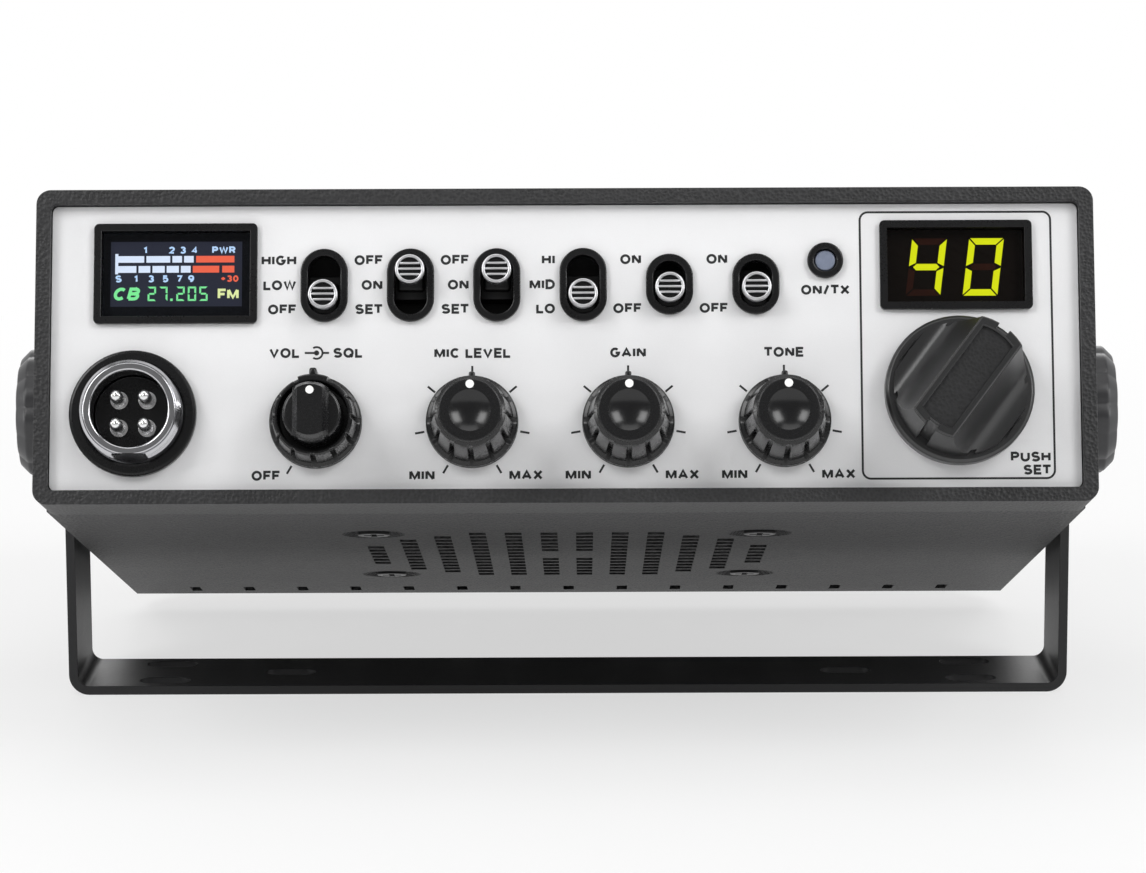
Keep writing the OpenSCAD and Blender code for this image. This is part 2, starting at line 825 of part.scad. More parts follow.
module mic_socket_insulator() {
  color("#101010") on_face(mic_x, mic_y) difference() {
    disc(mic_bore_d - 2 * seat_gap, back_z - mic_nut_t, insulator_top);
    translate([0, 0, back_z - mic_nut_t - more])
      linear_extrude(plate_t + mic_nut_t + mic_proud)
        four_corners(pin_pitch, pin_pitch) circle(d = pin_d + seat_gap);
  }
}

module mic_socket_pins() {
  color("#d8d8dc") on_face(mic_x, mic_y) for (i = [-1, 1], j = [-1, 1])
    translate([i * pin_pitch / 2, j * pin_pitch / 2, 0]) {
      disc(pin_d, back_z - mic_nut_t - 2, pin_top - pin_d / 2);
      translate([0, 0, pin_top - pin_d / 2]) sphere(d = pin_d);
      disc(pin_foot_d, insulator_top, insulator_top + 0.4);
    }
}

module switch_bezels() {
  color("#151515") for (i = [0 : switch_count - 1]) on_face(switch_x(i), switch_y) difference() {
    union() {
      linear_extrude(bezel_proud)
        stadium(switch_w + 2 * switch_lip, opening_l(i) + 2 * switch_lip);
      translate([0, 0, back_z]) linear_extrude(plate_t) switch_hub(i, 0);
    }
    translate([0, 0, back_z - more]) linear_extrude(plate_t + bezel_proud + 2 * more)
      stadium(switch_w, opening_l(i));
  }
}

module switch_bodies() {
  color("#303030") for (i = [0 : switch_count - 1]) {
    room = slider_l + travel(i) + 2 * free_gap;
    on_face(switch_x(i), switch_y) translate([0, 0, board_z]) difference() {
      linear_extrude(back_z - board_z)
        square([slider_w + 2 * free_gap + 2 * switch_side, room + 2 * switch_side], center = true);
      translate([0, 0, back_z - board_z - slider_t - 2 * free_gap])
        linear_extrude(slider_t + more + 2 * free_gap)
          square([slider_w + 2 * free_gap, room], center = true);
    }
  }
}

// Slider, stem and round cap with three ridges between four grooves across its face.
module switch_lever(i) {
  groove_w = cap_d / 12;
  groove_pitch = cap_d / 5.2;
  color("#b8b8bc") on_face(switch_x(i), lever_y(i)) difference() {
    union() {
      translate([0, 0, back_z - slider_t - free_gap]) linear_extrude(slider_t)
        square([slider_w, slider_l], center = true);
      disc(stem_d, back_z - free_gap - more, lever_proud - cap_t);
      disc(cap_d, lever_proud - cap_t, lever_proud);
    }
    for (g = [-1.5 : 1.5]) translate([0, g * groove_pitch, lever_proud])
      cube([cap_d - 2 * groove_w, groove_w, 2 * groove_w], center = true);
  }
}

module switch_1_lever() { switch_lever(0); }
module switch_2_lever() { switch_lever(1); }
module switch_3_lever() { switch_lever(2); }
module switch_4_lever() { switch_lever(3); }
module switch_5_lever() { switch_lever(4); }
module switch_6_lever() { switch_lever(5); }

// Round control body on the front board, with a shoulder and bush through the plate.
module control_body() {
  disc(pot_d, board_z, board_z + pot_h);
  disc(shoulder_d, board_z + pot_h - more, back_z);
  disc(bush_d, back_z - more, bush_out);
}

module potentiometers() {
  color("#7f8286") for (i = [0 : knob_count - 1]) on_face(knob_x(i), knob_y) difference() {
    control_body();
    disc(shaft_d + 2 * shaft_fit, shaft_in - free_gap, bush_out + more);
  }
}

module channel_encoder() {
  color("#7f8286") on_face(channel_x, channel_knob_y) difference() {
    union() {
      translate([0, 0, board_z]) linear_extrude(pot_h) rounded(encoder_w, encoder_w, 1);
      disc(shoulder_d, board_z + pot_h - more, back_z);
      disc(bush_d, back_z - more, bush_out);
    }
    disc(shaft_d + 2 * shaft_fit, shaft_in - push_travel - free_gap, bush_out + more);
    disc(rotor_d + 2 * free_gap, rotor_front - rotor_t - 2 * free_gap, rotor_front);
  }
}

// Ring inside the encoder that turns with the shaft while the shaft slides through it.
module encoder_rotor() {
  color("#c9a94a") on_face(channel_x, channel_knob_y)
    tube(rotor_d, shaft_d + 2 * shaft_fit, rotor_front - free_gap - rotor_t,
      rotor_front - free_gap);
}

// Shaft from inside a control up to the given height above the plate.
module control_shaft(x, y, d, top) {
  color("#a8abae") on_face(x, y) disc(d, shaft_in, top);
}

// Skirt, tapered body with grooves between its lobes, and a small pointer on the skirt.
module fluted_body(top_d, height) {
  foot_d = knob_d - 1.8;
  skirt_top = knob_lift + skirt_h;
  lean = atan((foot_d - top_d) / 2 / (height - skirt_top));
  groove_r = 0.7;
  edge = 0.6;
  difference() {
    union() {
      rotate_extrude() polygon([
        [0, knob_lift], [knob_d / 2, knob_lift], [knob_d / 2, skirt_top - edge],
        [knob_d / 2 - edge, skirt_top], [foot_d / 2, skirt_top],
        [top_d / 2, height - edge], [top_d / 2 - edge, height], [0, height]
      ]);
      translate([-edge, knob_d / 2 - 2 * edge, knob_lift]) cube([2 * edge, 3 * edge, skirt_h + edge]);
    }
    for (i = [0 : knob_lobes - 1]) rotate(270 + i * 360 / knob_lobes)
      translate([foot_d / 2 + groove_r / 4, 0, skirt_top]) rotate([0, -lean, 0])
        cylinder(r = groove_r, h = height);
  }
}

// Hollow under a knob that clears the control's bush.
module bush_hollow(lift) {
  disc(bush_d + 2 * bush_room, -more, bush_out + bush_room + lift);
}

// Single knob with a round dimple in its top.
module gain_knob(i) {
  depth = 0.9;
  ball_r = (pow(dimple_d / 2, 2) + pow(depth, 2)) / (2 * depth);
  color("#181818") on_face(knob_x(i), knob_y) difference() {
    fluted_body(knob_top_d, knob_h);
    bush_hollow(0);
    disc(shaft_d + 2 * shaft_fit, 0, knob_h - shaft_grip);
    translate([0, 0, knob_h + ball_r - depth]) sphere(ball_r);
  }
}

module gain_shaft(i) {
  control_shaft(knob_x(i), knob_y, shaft_d, knob_h - shaft_grip - seat_gap);
}

module mic_gain_knob() { gain_knob(1); }
module mic_gain_shaft() { gain_shaft(1); }
module rf_gain_knob() { gain_knob(2); }
module rf_gain_shaft() { gain_shaft(2); }
module tone_knob() { gain_knob(3); }
module tone_shaft() { gain_shaft(3); }

// Outer ring of the double control, cupped for the volume knob.
module squelch_knob() {
  color("#181818") on_face(knob_x(0), knob_y) difference() {
    fluted_body(knob_d - 2.4, ring_h);
    bush_hollow(0);
    disc(shaft_d + 2 * shaft_fit, 0, ring_h + more);
    disc(ring_bore_d, dual_floor, ring_h + more);
  }
}

module squelch_shaft() {
  color("#a8abae") on_face(knob_x(0), knob_y)
    tube(shaft_d, inner_shaft_d + 2 * shaft_fit, shaft_in + more, dual_floor - seat_gap);
}

// Round knob with a grip bar across it.
module volume_knob() {
  base = dual_floor + free_gap;
  shoulder = inner_h - 4.5;
  edge = 0.5;
  color("#181818") on_face(knob_x(0), knob_y) difference() {
    intersection() {
      rotate_extrude() polygon([
        [0, base], [inner_d / 2, base], [inner_d / 2, inner_h - edge],
        [inner_d / 2 - edge, inner_h], [0, inner_h]
      ]);
      union() {
        disc(inner_d + more, base, shoulder);
        translate([0, 0, (base + inner_h) / 2])
          cube([inner_bar_w, inner_d + more, inner_h - base], center = true);
      }
    }
    disc(inner_shaft_d + 2 * shaft_fit, 0, shoulder - more);
  }
}

module volume_shaft() {
  control_shaft(knob_x(0), knob_y, inner_shaft_d, inner_h - 4.5 - more - seat_gap);
}

// Skirted knob whose grip bar is left between two round scoops, with a sunk panel on the bar.
module channel_knob() {
  foot = push_gap + 3.5;
  grip_r = channel_knob_d / 2 - 1.2;
  edge = 0.8;
  rim = 1;
  panel_depth = 0.6;
  reach = grip_r - grip_w / 2;
  drop = channel_knob_h - foot;
  scoop_r = (pow(reach, 2) + pow(drop, 2)) / (2 * reach);
  color("#181818") on_face(channel_x, channel_knob_y) rotate(-grip_turn) difference() {
    rotate_extrude() polygon([
      [0, push_gap], [channel_knob_d / 2, push_gap], [channel_knob_d / 2, foot - edge],
      [channel_knob_d / 2 - edge, foot], [grip_r, foot],
      [grip_r - edge, channel_knob_h - edge], [grip_r - 2 * edge, channel_knob_h],
      [0, channel_knob_h]
    ]);
    for (s = [-1, 1]) translate([s * (grip_w / 2 + scoop_r), 0, channel_knob_h])
      rotate([90, 0, 0]) cylinder(r = scoop_r, h = 2 * channel_knob_d, center = true);
    translate([0, 0, channel_knob_h])
      cube([grip_w - 2 * rim, 2 * (grip_r - 2 * edge - rim), 2 * panel_depth], center = true);
    bush_hollow(push_travel);
    disc(shaft_d + 2 * shaft_fit, 0, channel_knob_h - shaft_grip);
  }
}

module channel_shaft() {
  control_shaft(channel_x, channel_knob_y, shaft_d, channel_knob_h - shaft_grip - seat_gap);
}

// Square flange on the dished screw seats, with a round basket above it.
module speaker_frame() {
  color("#45484b") in_case() translate([0, speaker_y, speaker_seat]) difference() {
    union() {
      linear_extrude(speaker_flange_t) rounded(speaker_w, speaker_w, 4);
      cylinder(r1 = basket_r, r2 = basket_back_r, h = basket_h);
    }
    translate([0, 0, -basket_t]) cylinder(r1 = basket_r, r2 = basket_back_r, h = basket_h);
    translate([0, 0, -more]) cylinder(r = basket_r - 3, h = speaker_flange_t + more);
    linear_extrude(3 * speaker_flange_t, center = true)
      four_corners(speaker_screw_x, speaker_screw_x) circle(d = screw_d + 2 * shaft_fit);
  }
}

// Paper cone with a dust dome, glued to the inside of the basket's back.
module speaker_cone() {
  rim_r = basket_r - 4;
  top = basket_h - basket_t;
  color("#55504a") in_case() translate([0, speaker_y, speaker_seat]) {
    rotate_extrude() polygon([
      [rim_r - cone_t, speaker_flange_t], [rim_r, speaker_flange_t + cone_t],
      [dome_r + cone_t, top - cone_t], [dome_r + cone_t, top], [dome_r - cone_t, top],
      [dome_r - cone_t, top - 2 * cone_t]
    ]);
    translate([0, 0, top - 3 * cone_t]) cylinder(r = dome_r, h = 2 * cone_t);
  }
}

module speaker_magnet() {
  color("#2f3133") in_case() translate([0, speaker_y, speaker_seat + basket_h])
    cylinder(d = magnet_d, h = magnet_t);
}

// Pan head at the origin on z = 0, with its shank running down.
module pan_screw(shank) {
  difference() {
    union() {
      cylinder(d = head_d, h = head_t);
      translate([0, 0, -shank]) cylinder(d = screw_d, h = shank + head_t / 2);
    }
    for (turn = [0, 90]) rotate(turn) translate([0, 0, head_t])
      cube([head_d * 0.6, head_t / 2, head_t], center = true);
  }
}

module speaker_screws() {
  color("#303030") in_case() speaker_screw_places() translate([0, 0, dish_depth])
    mirror([0, 0, 1]) pan_screw(cover_t + speaker_flange_t + more);
}

module case_screws() {
  color("#202020") in_case() case_screw_places() pan_screw(wall_t);
}

module board_screws() {
  color("#b0b0b0") in_case() {
    translate([0, board_front, 0]) rotate([90, 0, 0])
      four_corners(front_screw_x, front_screw_y) pan_screw(board_t + standoff_l);
    translate([0, 0, main_board_z + board_t]) main_screw_places() pan_screw(board_t + rail_t);
  }
}

// Coaxial socket: flange, threaded barrel, and a contact tube on an insulating floor.
module antenna_socket() {
  floor_z = antenna_flange_t + 2;
  contact_d = 6;
  color("#c0c0c4") on_rear(antenna_x, 0) difference() {
    union() {
      linear_extrude(antenna_flange_t) rounded(antenna_flange, antenna_flange, 2);
      disc(antenna_d, 0, antenna_l);
      disc(antenna_d - 4 - 2 * seat_gap, -sink_base - 2, more);
    }
    tube(antenna_d - 3, contact_d, floor_z, antenna_l + more);
    disc(contact_d, antenna_l - 3, antenna_l + more);
    disc(contact_d - 2, floor_z, antenna_l + more);
  }
}

// Shrouded inlet with two blades.
module power_inlet() {
  blade = [1, 5, 6];
  color("#e8e4d8") on_rear(-power_x, 0) {
    difference() {
      linear_extrude(power_l) square(power_shroud, center = true);
      translate([0, 0, 1.5]) linear_extrude(power_l)
        square(power_core, center = true);
    }
    translate([0, 0, -sink_base]) linear_extrude(sink_base + more)
      square([power_core[0] - 2 * seat_gap, power_core[1] - 2 * seat_gap], center = true);
    for (s = [-1, 1]) translate([s * power_core[0] / 4, 0, more + blade[2] / 2])
      cube(blade, center = true);
  }
}

module speaker_jacks() {
  color("#2a2a2a") for (z = [-1, 1]) on_rear(-jack_x, jack_z + z * jack_spacing / 2) difference() {
    union() {
      disc(jack_nut_d, 0, jack_nut_t);
      disc(jack_d, -jack_l, jack_nut_t);
    }
    disc(jack_bore_d, -jack_l + 2, jack_nut_t + more);
  }
}

// Flat packages that stand on the main board and bolt to the heat sink.
module power_transistors() {
  tall = min(transistor_h, inner_h2 - main_board_z - board_t - more);
  color("#262626") in_case() for (i = [-1 : 1])
    translate([i * transistor_pitch - transistor_w / 2, sink_front - transistor_t,
      main_board_z + board_t])
      cube([transistor_w, transistor_t, tall]);
}

module capacitors() {
  tall = min(capacitor_h, inner_h2 - main_board_z - board_t - more);
  color("#26304a") in_case() for (i = [0 : capacitor_columns - 1], j = [0 : 1])
    translate([(i - (capacitor_columns - 1) / 2) * capacitor_pitch,
      main_board_front + (j + 0.5) * board_room / 2.6, main_board_z + board_t])
      cylinder(d = capacitor_d * (1 + j / 4), h = tall);
}

module rubber_washers() {
  color("#1a1a1a") for (s = [0, 1]) mirror([s, 0, 0]) on_axis()
    tube(rubber_d, stud_d + 2 * free_gap, rubber_seat, rubber_seat + rubber_t);
}

module clamp_washer() {
  color("#b4b6b8") on_axis()
    tube(washer_d, stud_d + 2 * free_gap, washer_seat, washer_seat + washer_t);
}

module right_clamp_washer() { clamp_washer(); }
module left_clamp_washer() { mirror([1, 0, 0]) clamp_washer(); }

// Lobed knob moulded on a threaded stud.
module thumbscrew() {
  lobe_d = thumb_d * 0.28;
  flange = 1;
  color("#161616") on_axis() {
    disc(washer_d, thumb_seat, thumb_seat + flange);
    translate([0, 0, thumb_seat + flange]) linear_extrude(thumb_t - flange) {
      circle(d = thumb_d - lobe_d);
      for (i = [0 : thumb_lobes - 1]) rotate(i * 360 / thumb_lobes)
        translate([(thumb_d - lobe_d) / 2, 0]) circle(d = lobe_d);
    }
    disc(stud_d, stud_in, thumb_seat + flange);
  }
}

module right_thumbscrew() { thumbscrew(); }
module left_thumbscrew() { mirror([1, 0, 0]) thumbscrew(); }

mounting_bracket();
front_frame();
face_plate();
chassis();
top_cover();
bottom_cover();
rear_heat_sink();
front_circuit_board();
main_circuit_board();
meter_bezel();
meter_window();
meter_display();
channel_bezel();
channel_window();
channel_display();
status_light_ring();
status_light();
mic_socket_ring();
mic_socket_shell();
mic_socket_insulator();
mic_socket_pins();
switch_bezels();
switch_bodies();
potentiometers();
channel_encoder();
encoder_rotor();
speaker_frame();
speaker_cone();
speaker_magnet();
speaker_screws();
antenna_socket();
power_inlet();
speaker_jacks();
case_screws();
board_screws();
power_transistors();
capacitors();
rubber_washers();
left_clamp_washer();
right_clamp_washer();
left_thumbscrew();
right_thumbscrew();
switch_1_lever();
switch_2_lever();
switch_3_lever();
switch_4_lever();
switch_5_lever();
switch_6_lever();
volume_knob();
volume_shaft();
squelch_knob();
squelch_shaft();
mic_gain_knob();
mic_gain_shaft();
rf_gain_knob();
rf_gain_shaft();
tone_knob();
tone_shaft();
channel_knob();
channel_shaft();
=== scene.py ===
"""Dresses the CB radio: camera, studio, materials, and the pieces that show fine detail."""
import math

import bmesh
import bpy
from mathutils import Matrix, Vector


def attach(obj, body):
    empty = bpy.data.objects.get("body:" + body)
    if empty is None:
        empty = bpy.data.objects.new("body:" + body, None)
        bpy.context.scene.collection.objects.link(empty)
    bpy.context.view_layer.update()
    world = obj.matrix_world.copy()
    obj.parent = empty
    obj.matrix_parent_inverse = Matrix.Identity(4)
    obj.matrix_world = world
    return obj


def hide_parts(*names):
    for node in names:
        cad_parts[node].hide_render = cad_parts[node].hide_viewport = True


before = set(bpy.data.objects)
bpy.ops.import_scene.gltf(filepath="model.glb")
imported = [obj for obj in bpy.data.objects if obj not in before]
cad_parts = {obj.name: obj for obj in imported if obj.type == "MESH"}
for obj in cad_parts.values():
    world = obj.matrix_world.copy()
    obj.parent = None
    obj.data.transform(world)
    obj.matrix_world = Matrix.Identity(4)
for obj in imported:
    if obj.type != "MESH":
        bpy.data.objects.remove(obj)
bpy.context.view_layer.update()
scene = bpy.context.scene

# Sizes in millimetres, as in the part's source
MM = 0.001
TILT = math.radians(17.5)
PIVOT_HEIGHT = 49.0
PIVOT_DEPTH = 75.0
PLATE_RECESS = 2.0
PLATE_W = 165.2
PLATE_H = 46.2
PLATE_LEFT = -PLATE_W / 2
PLATE_RIGHT = PLATE_W / 2
PLATE_TOP = PLATE_H / 2
PLATE_BOTTOM = -PLATE_H / 2

HANDS = (("left", -1), ("right", 1))
KNOB_Y = PLATE_BOTTOM + 10.7
KNOB_X = [PLATE_LEFT + 42.7 + 25.0 * i for i in range(4)]
SWITCH_Y = PLATE_TOP - 13.1
SWITCH_X = [PLATE_LEFT + 43.9 + 13.88 * i for i in range(6)]
SWITCH_TRAVEL = [4.0, 4.0, 4.0, 4.0, 2.0, 2.0]
LEVER_UP = [False, True, True, False, False, False]
METER_X = PLATE_LEFT + 20.0
METER_Y = PLATE_TOP - 11.1
CHANNEL_X = PLATE_RIGHT - 19.7
CHANNEL_Y = PLATE_TOP - 10.1
CHANNEL_KNOB_Y = PLATE_BOTTOM + 15.3
LIGHT_X = SWITCH_X[5] + 11.2
LIGHT_Y = PLATE_TOP - 9.3
MIC_X = PLATE_LEFT + 13.4
MIC_Y = PLATE_BOTTOM + 12.3
SCREEN_Z = -1.5
PRINT_LIFT = 0.02

# Limits of the mesh work, in millimetres and degrees
WELD_WITHIN = 0.001
MERGE_WITHIN = 0.0005
FLAT_WITHIN = 0.2
EDGE_ANGLE = 40


def in_case():
    """Place of the case: width, depth from the front, height from its middle."""
    lift = Matrix.Translation((0, 0, PIVOT_HEIGHT * MM))
    lean = Matrix.Rotation(-TILT, 4, "X")
    return lift @ lean @ Matrix.Translation((0, -PIVOT_DEPTH * MM, 0))


def on_face(x, y, z=0.0, turn=0.0):
    """Place on the plate: x to the right, y up, z out of its front."""
    front = Matrix.Translation((0, PLATE_RECESS * MM, 0)) @ Matrix.Rotation(math.pi / 2, 4, "X")
    there = Matrix.Translation(Vector((x, y, z)) * MM)
    return in_case() @ front @ there @ Matrix.Rotation(math.radians(turn), 4, "Z")


# Colours and surfaces

BROAD_SCALE = 120.0
GLOSS_SPREAD = 0.06
WAVE_PITCH = 0.314
PANE_IOR = 1.3
SMEAR_SCALE = 300.0


def linear(code):
    """Scene colour of a hex code as it looks on a screen."""
    parts = [int(code[i:i + 2], 16) / 255 for i in (1, 3, 5)]
    return [p / 12.92 if p <= 0.04045 else ((p + 0.055) / 1.055) ** 2.4 for p in parts]


def shade(color, factor):
    """Lighter or darker tone of a scene colour."""
    return [min(1.0, c * factor) for c in color] + [1.0]


def fresh(name):
    """New material and its tree of nodes."""
    made = bpy.data.materials.new(name)
    made.use_nodes = True
    return made, made.node_tree


def combine(tree, operation, *values):
    """Result of a sum on sockets and plain numbers."""
    node = tree.nodes.new("ShaderNodeMath")
    node.operation = operation
    for place, value in zip(node.inputs, values):
        if isinstance(value, bpy.types.NodeSocket):
            tree.links.new(value, place)
        else:
            place.default_value = value
    return node.outputs["Value"]


def pattern(tree, kind, scale, detail=None):
    """Texture that stays with the piece it is on."""
    place = tree.nodes.new("ShaderNodeTexCoord")
    made = tree.nodes.new("ShaderNodeTex" + kind)
    made.inputs["Scale"].default_value = scale
    if detail is not None:
        made.inputs["Detail"].default_value = detail
    tree.links.new(place.outputs["Object"], made.inputs["Vector"])
    return made


def two_tone(tree, factor, low, high, start=0.0, end=1.0):
    """Colour that goes from one tone to another with a factor."""
    tint = tree.nodes.new("ShaderNodeValToRGB")
    for element, position, tone in zip(tint.color_ramp.elements, (start, end), (low, high)):
        element.position = position
        element.color = tone
    tree.links.new(factor, tint.inputs["Fac"])
    return tint.outputs["Color"]


def mixed(tree, factor, first, second, output):
    """Sends a mix of two shaders to the output."""
    mix = tree.nodes.new("ShaderNodeMixShader")
    for source, place in zip((factor, first, second), mix.inputs):
        tree.links.new(source, place)
    tree.links.new(mix.outputs["Shader"], tree.nodes[output].inputs["Surface"])


def surface(name, code, roughness, metallic=0.0, grain=2500.0, relief=0.1, mottle=0.1,
            cells=False, specular=0.5, depth=0.1):
    """Opaque surface whose grain varies its colour, gloss and height."""
    made, tree = fresh(name)
    shader = tree.nodes["Principled BSDF"]
    shader.inputs["Metallic"].default_value = metallic
    shader.inputs["Specular IOR Level"].default_value = specular
    broad = pattern(tree, "Noise", BROAD_SCALE, 4.0)
    if cells:
        height = pattern(tree, "Voronoi", grain).outputs["Distance"]
    else:
        height = pattern(tree, "Noise", grain, 3.0).outputs["Fac"]
    broad_half = combine(tree, "MULTIPLY", broad.outputs["Fac"], 0.5)
    both = combine(tree, "MULTIPLY_ADD", height, 0.5, broad_half)
    color = linear(code)
    tint = two_tone(tree, both, shade(color, 1 - mottle), shade(color, 1 + mottle), 0.3, 0.7)
    tree.links.new(tint, shader.inputs["Base Color"])
    gloss = tree.nodes.new("ShaderNodeMapRange")
    gloss.inputs["To Min"].default_value = max(0.02, roughness - GLOSS_SPREAD)
    gloss.inputs["To Max"].default_value = roughness + GLOSS_SPREAD
    tree.links.new(both, gloss.inputs["Value"])
    tree.links.new(gloss.outputs["Result"], shader.inputs["Roughness"])
    bump = tree.nodes.new("ShaderNodeBump")
    bump.inputs["Strength"].default_value = relief
    bump.inputs["Distance"].default_value = depth * MM
    tree.links.new(height, bump.inputs["Height"])
    tree.links.new(bump.outputs["Normal"], shader.inputs["Normal"])
    return made


def glowing(name, code, strength, pitch=0.13):
    """Light of a screen, broken up by the fine rows of its picture points."""
    made, tree = fresh(name)
    shader = tree.nodes["Principled BSDF"]
    color = linear(code)
    shader.inputs["Base Color"].default_value = shade(color, 0.3)
    shader.inputs["Roughness"].default_value = 0.4
    rows = pattern(tree, "Wave", WAVE_PITCH / (pitch * MM))
    rows.bands_direction = "Y"
    tint = two_tone(tree, rows.outputs["Fac"], shade(color, 0.86), shade(color, 1.0))
    tree.links.new(tint, shader.inputs["Emission Color"])
    shader.inputs["Emission Strength"].default_value = strength
    return made


def clear(name, code, haze):
    """Thin pane: mostly see-through, with a reflection and a faint tint that is not quite even."""
    made, tree = fresh(name)
    tree.nodes.remove(tree.nodes["Principled BSDF"])
    see = tree.nodes.new("ShaderNodeBsdfTransparent")
    gloss = tree.nodes.new("ShaderNodeBsdfGlossy")
    gloss.inputs["Roughness"].default_value = haze
    edge = tree.nodes.new("ShaderNodeFresnel")
    edge.inputs["IOR"].default_value = PANE_IOR
    smear = pattern(tree, "Noise", SMEAR_SCALE)
    color = linear(code)
    tint = two_tone(tree, smear.outputs["Fac"], shade(color, 0.96), shade(color, 1.0))
    tree.links.new(tint, see.inputs["Color"])
    mixed(tree, edge.outputs["Fac"], see.outputs["BSDF"], gloss.outputs["BSDF"], "Material Output")
    return made


BRACKET_PAINT = surface("bracket_paint", "#252526", 0.45, grain=1600, relief=0.15, specular=0.35)
FRAME_PLASTIC = surface("frame_plastic", "#252526", 0.5, grain=1700, relief=1.0, mottle=0.3,
                        cells=True, specular=0.45, depth=0.16)
PLATE_PAINT = surface("plate_paint", "#e9e9ea", 0.42, grain=5200, relief=0.05, mottle=0.02, specular=0.3)
COVER_PAINT = surface("cover_paint", "#232324", 0.52, grain=1600, relief=1.0, mottle=0.3,
                      cells=True, specular=0.35, depth=0.24)
CHASSIS_STEEL = surface("chassis_steel", "#343537", 0.42, metallic=0.5, grain=1500, relief=0.08)
HEAT_SINK = surface("heat_sink", "#2c2d2f", 0.45, metallic=0.6, grain=1800, relief=0.1)
BOARD = surface("circuit_board", "#1f5c34", 0.4, grain=700, relief=0.05)
BLACK_PLASTIC = surface("black_plastic", "#121213", 0.28, grain=2200, relief=0.05, specular=0.4)
# Thumbscrew plastic: black plastic with its base colour lightened to a dark grey, a painted sheen that
# stands in for the side light on its lobes
THUMB_PLASTIC_PAINTED_SHEEN = surface("thumb_plastic_painted_sheen", "#2a2a2c", 0.38, grain=1800, relief=0.06, specular=0.6)
SOOT_PLASTIC = surface("soot_plastic", "#0b0b0c", 0.4, grain=2200, relief=0.05, specular=0.3)
KNOB_PLASTIC = surface("knob_plastic", "#131314", 0.27, grain=2000, relief=0.04, specular=0.5)
GRIP_PLASTIC = surface("grip_plastic", "#171718", 0.34, grain=2000, relief=0.08, specular=0.8)
KNOB_GLOSS = surface("knob_gloss", "#131314", 0.21, grain=2000, relief=0.02)
PANEL_PLASTIC = surface("panel_plastic", "#1b1b1c", 0.6, grain=1900, relief=0.7, mottle=0.35,
                        cells=True, specular=0.4)
SOCKET_METAL = surface("socket_metal", "#c4c4c7", 0.16, metallic=1.0, grain=1200, relief=0.03,
                       mottle=0.05)
LEVER_METAL = surface("lever_metal", "#d8d8da", 0.36, metallic=1.0, grain=1500, relief=0.03, mottle=0.05)
PIN_METAL = surface("pin_metal", "#e6e6e6", 0.2, metallic=1.0, grain=1500, relief=0.02, mottle=0.04)
SHAFT_METAL = surface("shaft_metal", "#a9acaf", 0.3, metallic=1.0, grain=1500, relief=0.03)
CONTROL_METAL = surface("control_metal", "#7f8286", 0.4, metallic=0.8, grain=1200, relief=0.05)
BRASS = surface("brass_contact", "#c9a94a", 0.3, metallic=1.0, grain=1500, relief=0.03)
SPEAKER_STEEL = surface("speaker_steel", "#45484b", 0.45, metallic=0.6, grain=1400, relief=0.06)
SPEAKER_PAPER = surface("speaker_paper", "#55504a", 0.85, grain=900, relief=0.4)
FERRITE = surface("magnet_ferrite", "#2f3133", 0.6, grain=1500, relief=0.2)
SCREW_BLACK = surface("screw_black", "#222223", 0.35, metallic=0.5, grain=1800, relief=0.05)
SCREW_ZINC = surface("screw_zinc", "#b9b9b4", 0.3, metallic=1.0, grain=1800, relief=0.04)
NYLON = surface("inlet_nylon", "#e2ddcf", 0.5, grain=1500, relief=0.06, mottle=0.04)
COMPONENT_BLACK = surface("component_black", "#262626", 0.5, grain=2000, relief=0.1)
COMPONENT_BLUE = surface("component_blue", "#26304a", 0.35, grain=1500, relief=0.04)
RUBBER = surface("rubber", "#191919", 0.75, grain=2200, relief=0.25)
WASHER_STEEL = surface("washer_steel", "#3a3a3b", 0.35, metallic=0.8, grain=1600, relief=0.05)
SCREEN_DARK = surface("meter_screen", "#08080b", 0.4, grain=3000, relief=0.02, specular=0.2)
LED_DARK = surface("channel_leds", "#0a0504", 0.5, grain=2500, relief=0.05, specular=0.15)
LENS = surface("light_lens", "#7d8598", 0.3, grain=1800, relief=0.03, mottle=0.12)
METER_GLASS = clear("meter_glass", "#e8ecf4", 0.08)
CHANNEL_GLASS = clear("channel_glass", "#e6dcd4", 0.08)
INK = surface("legend_ink", "#2b2c2d", 0.5, grain=3000, relief=0.04, specular=0.3)
WHITE_INK = surface("white_ink", "#f6f6f4", 0.45, grain=3000, relief=0.03, mottle=0.03)


# Carried-over solids: material and width of the rounded edges

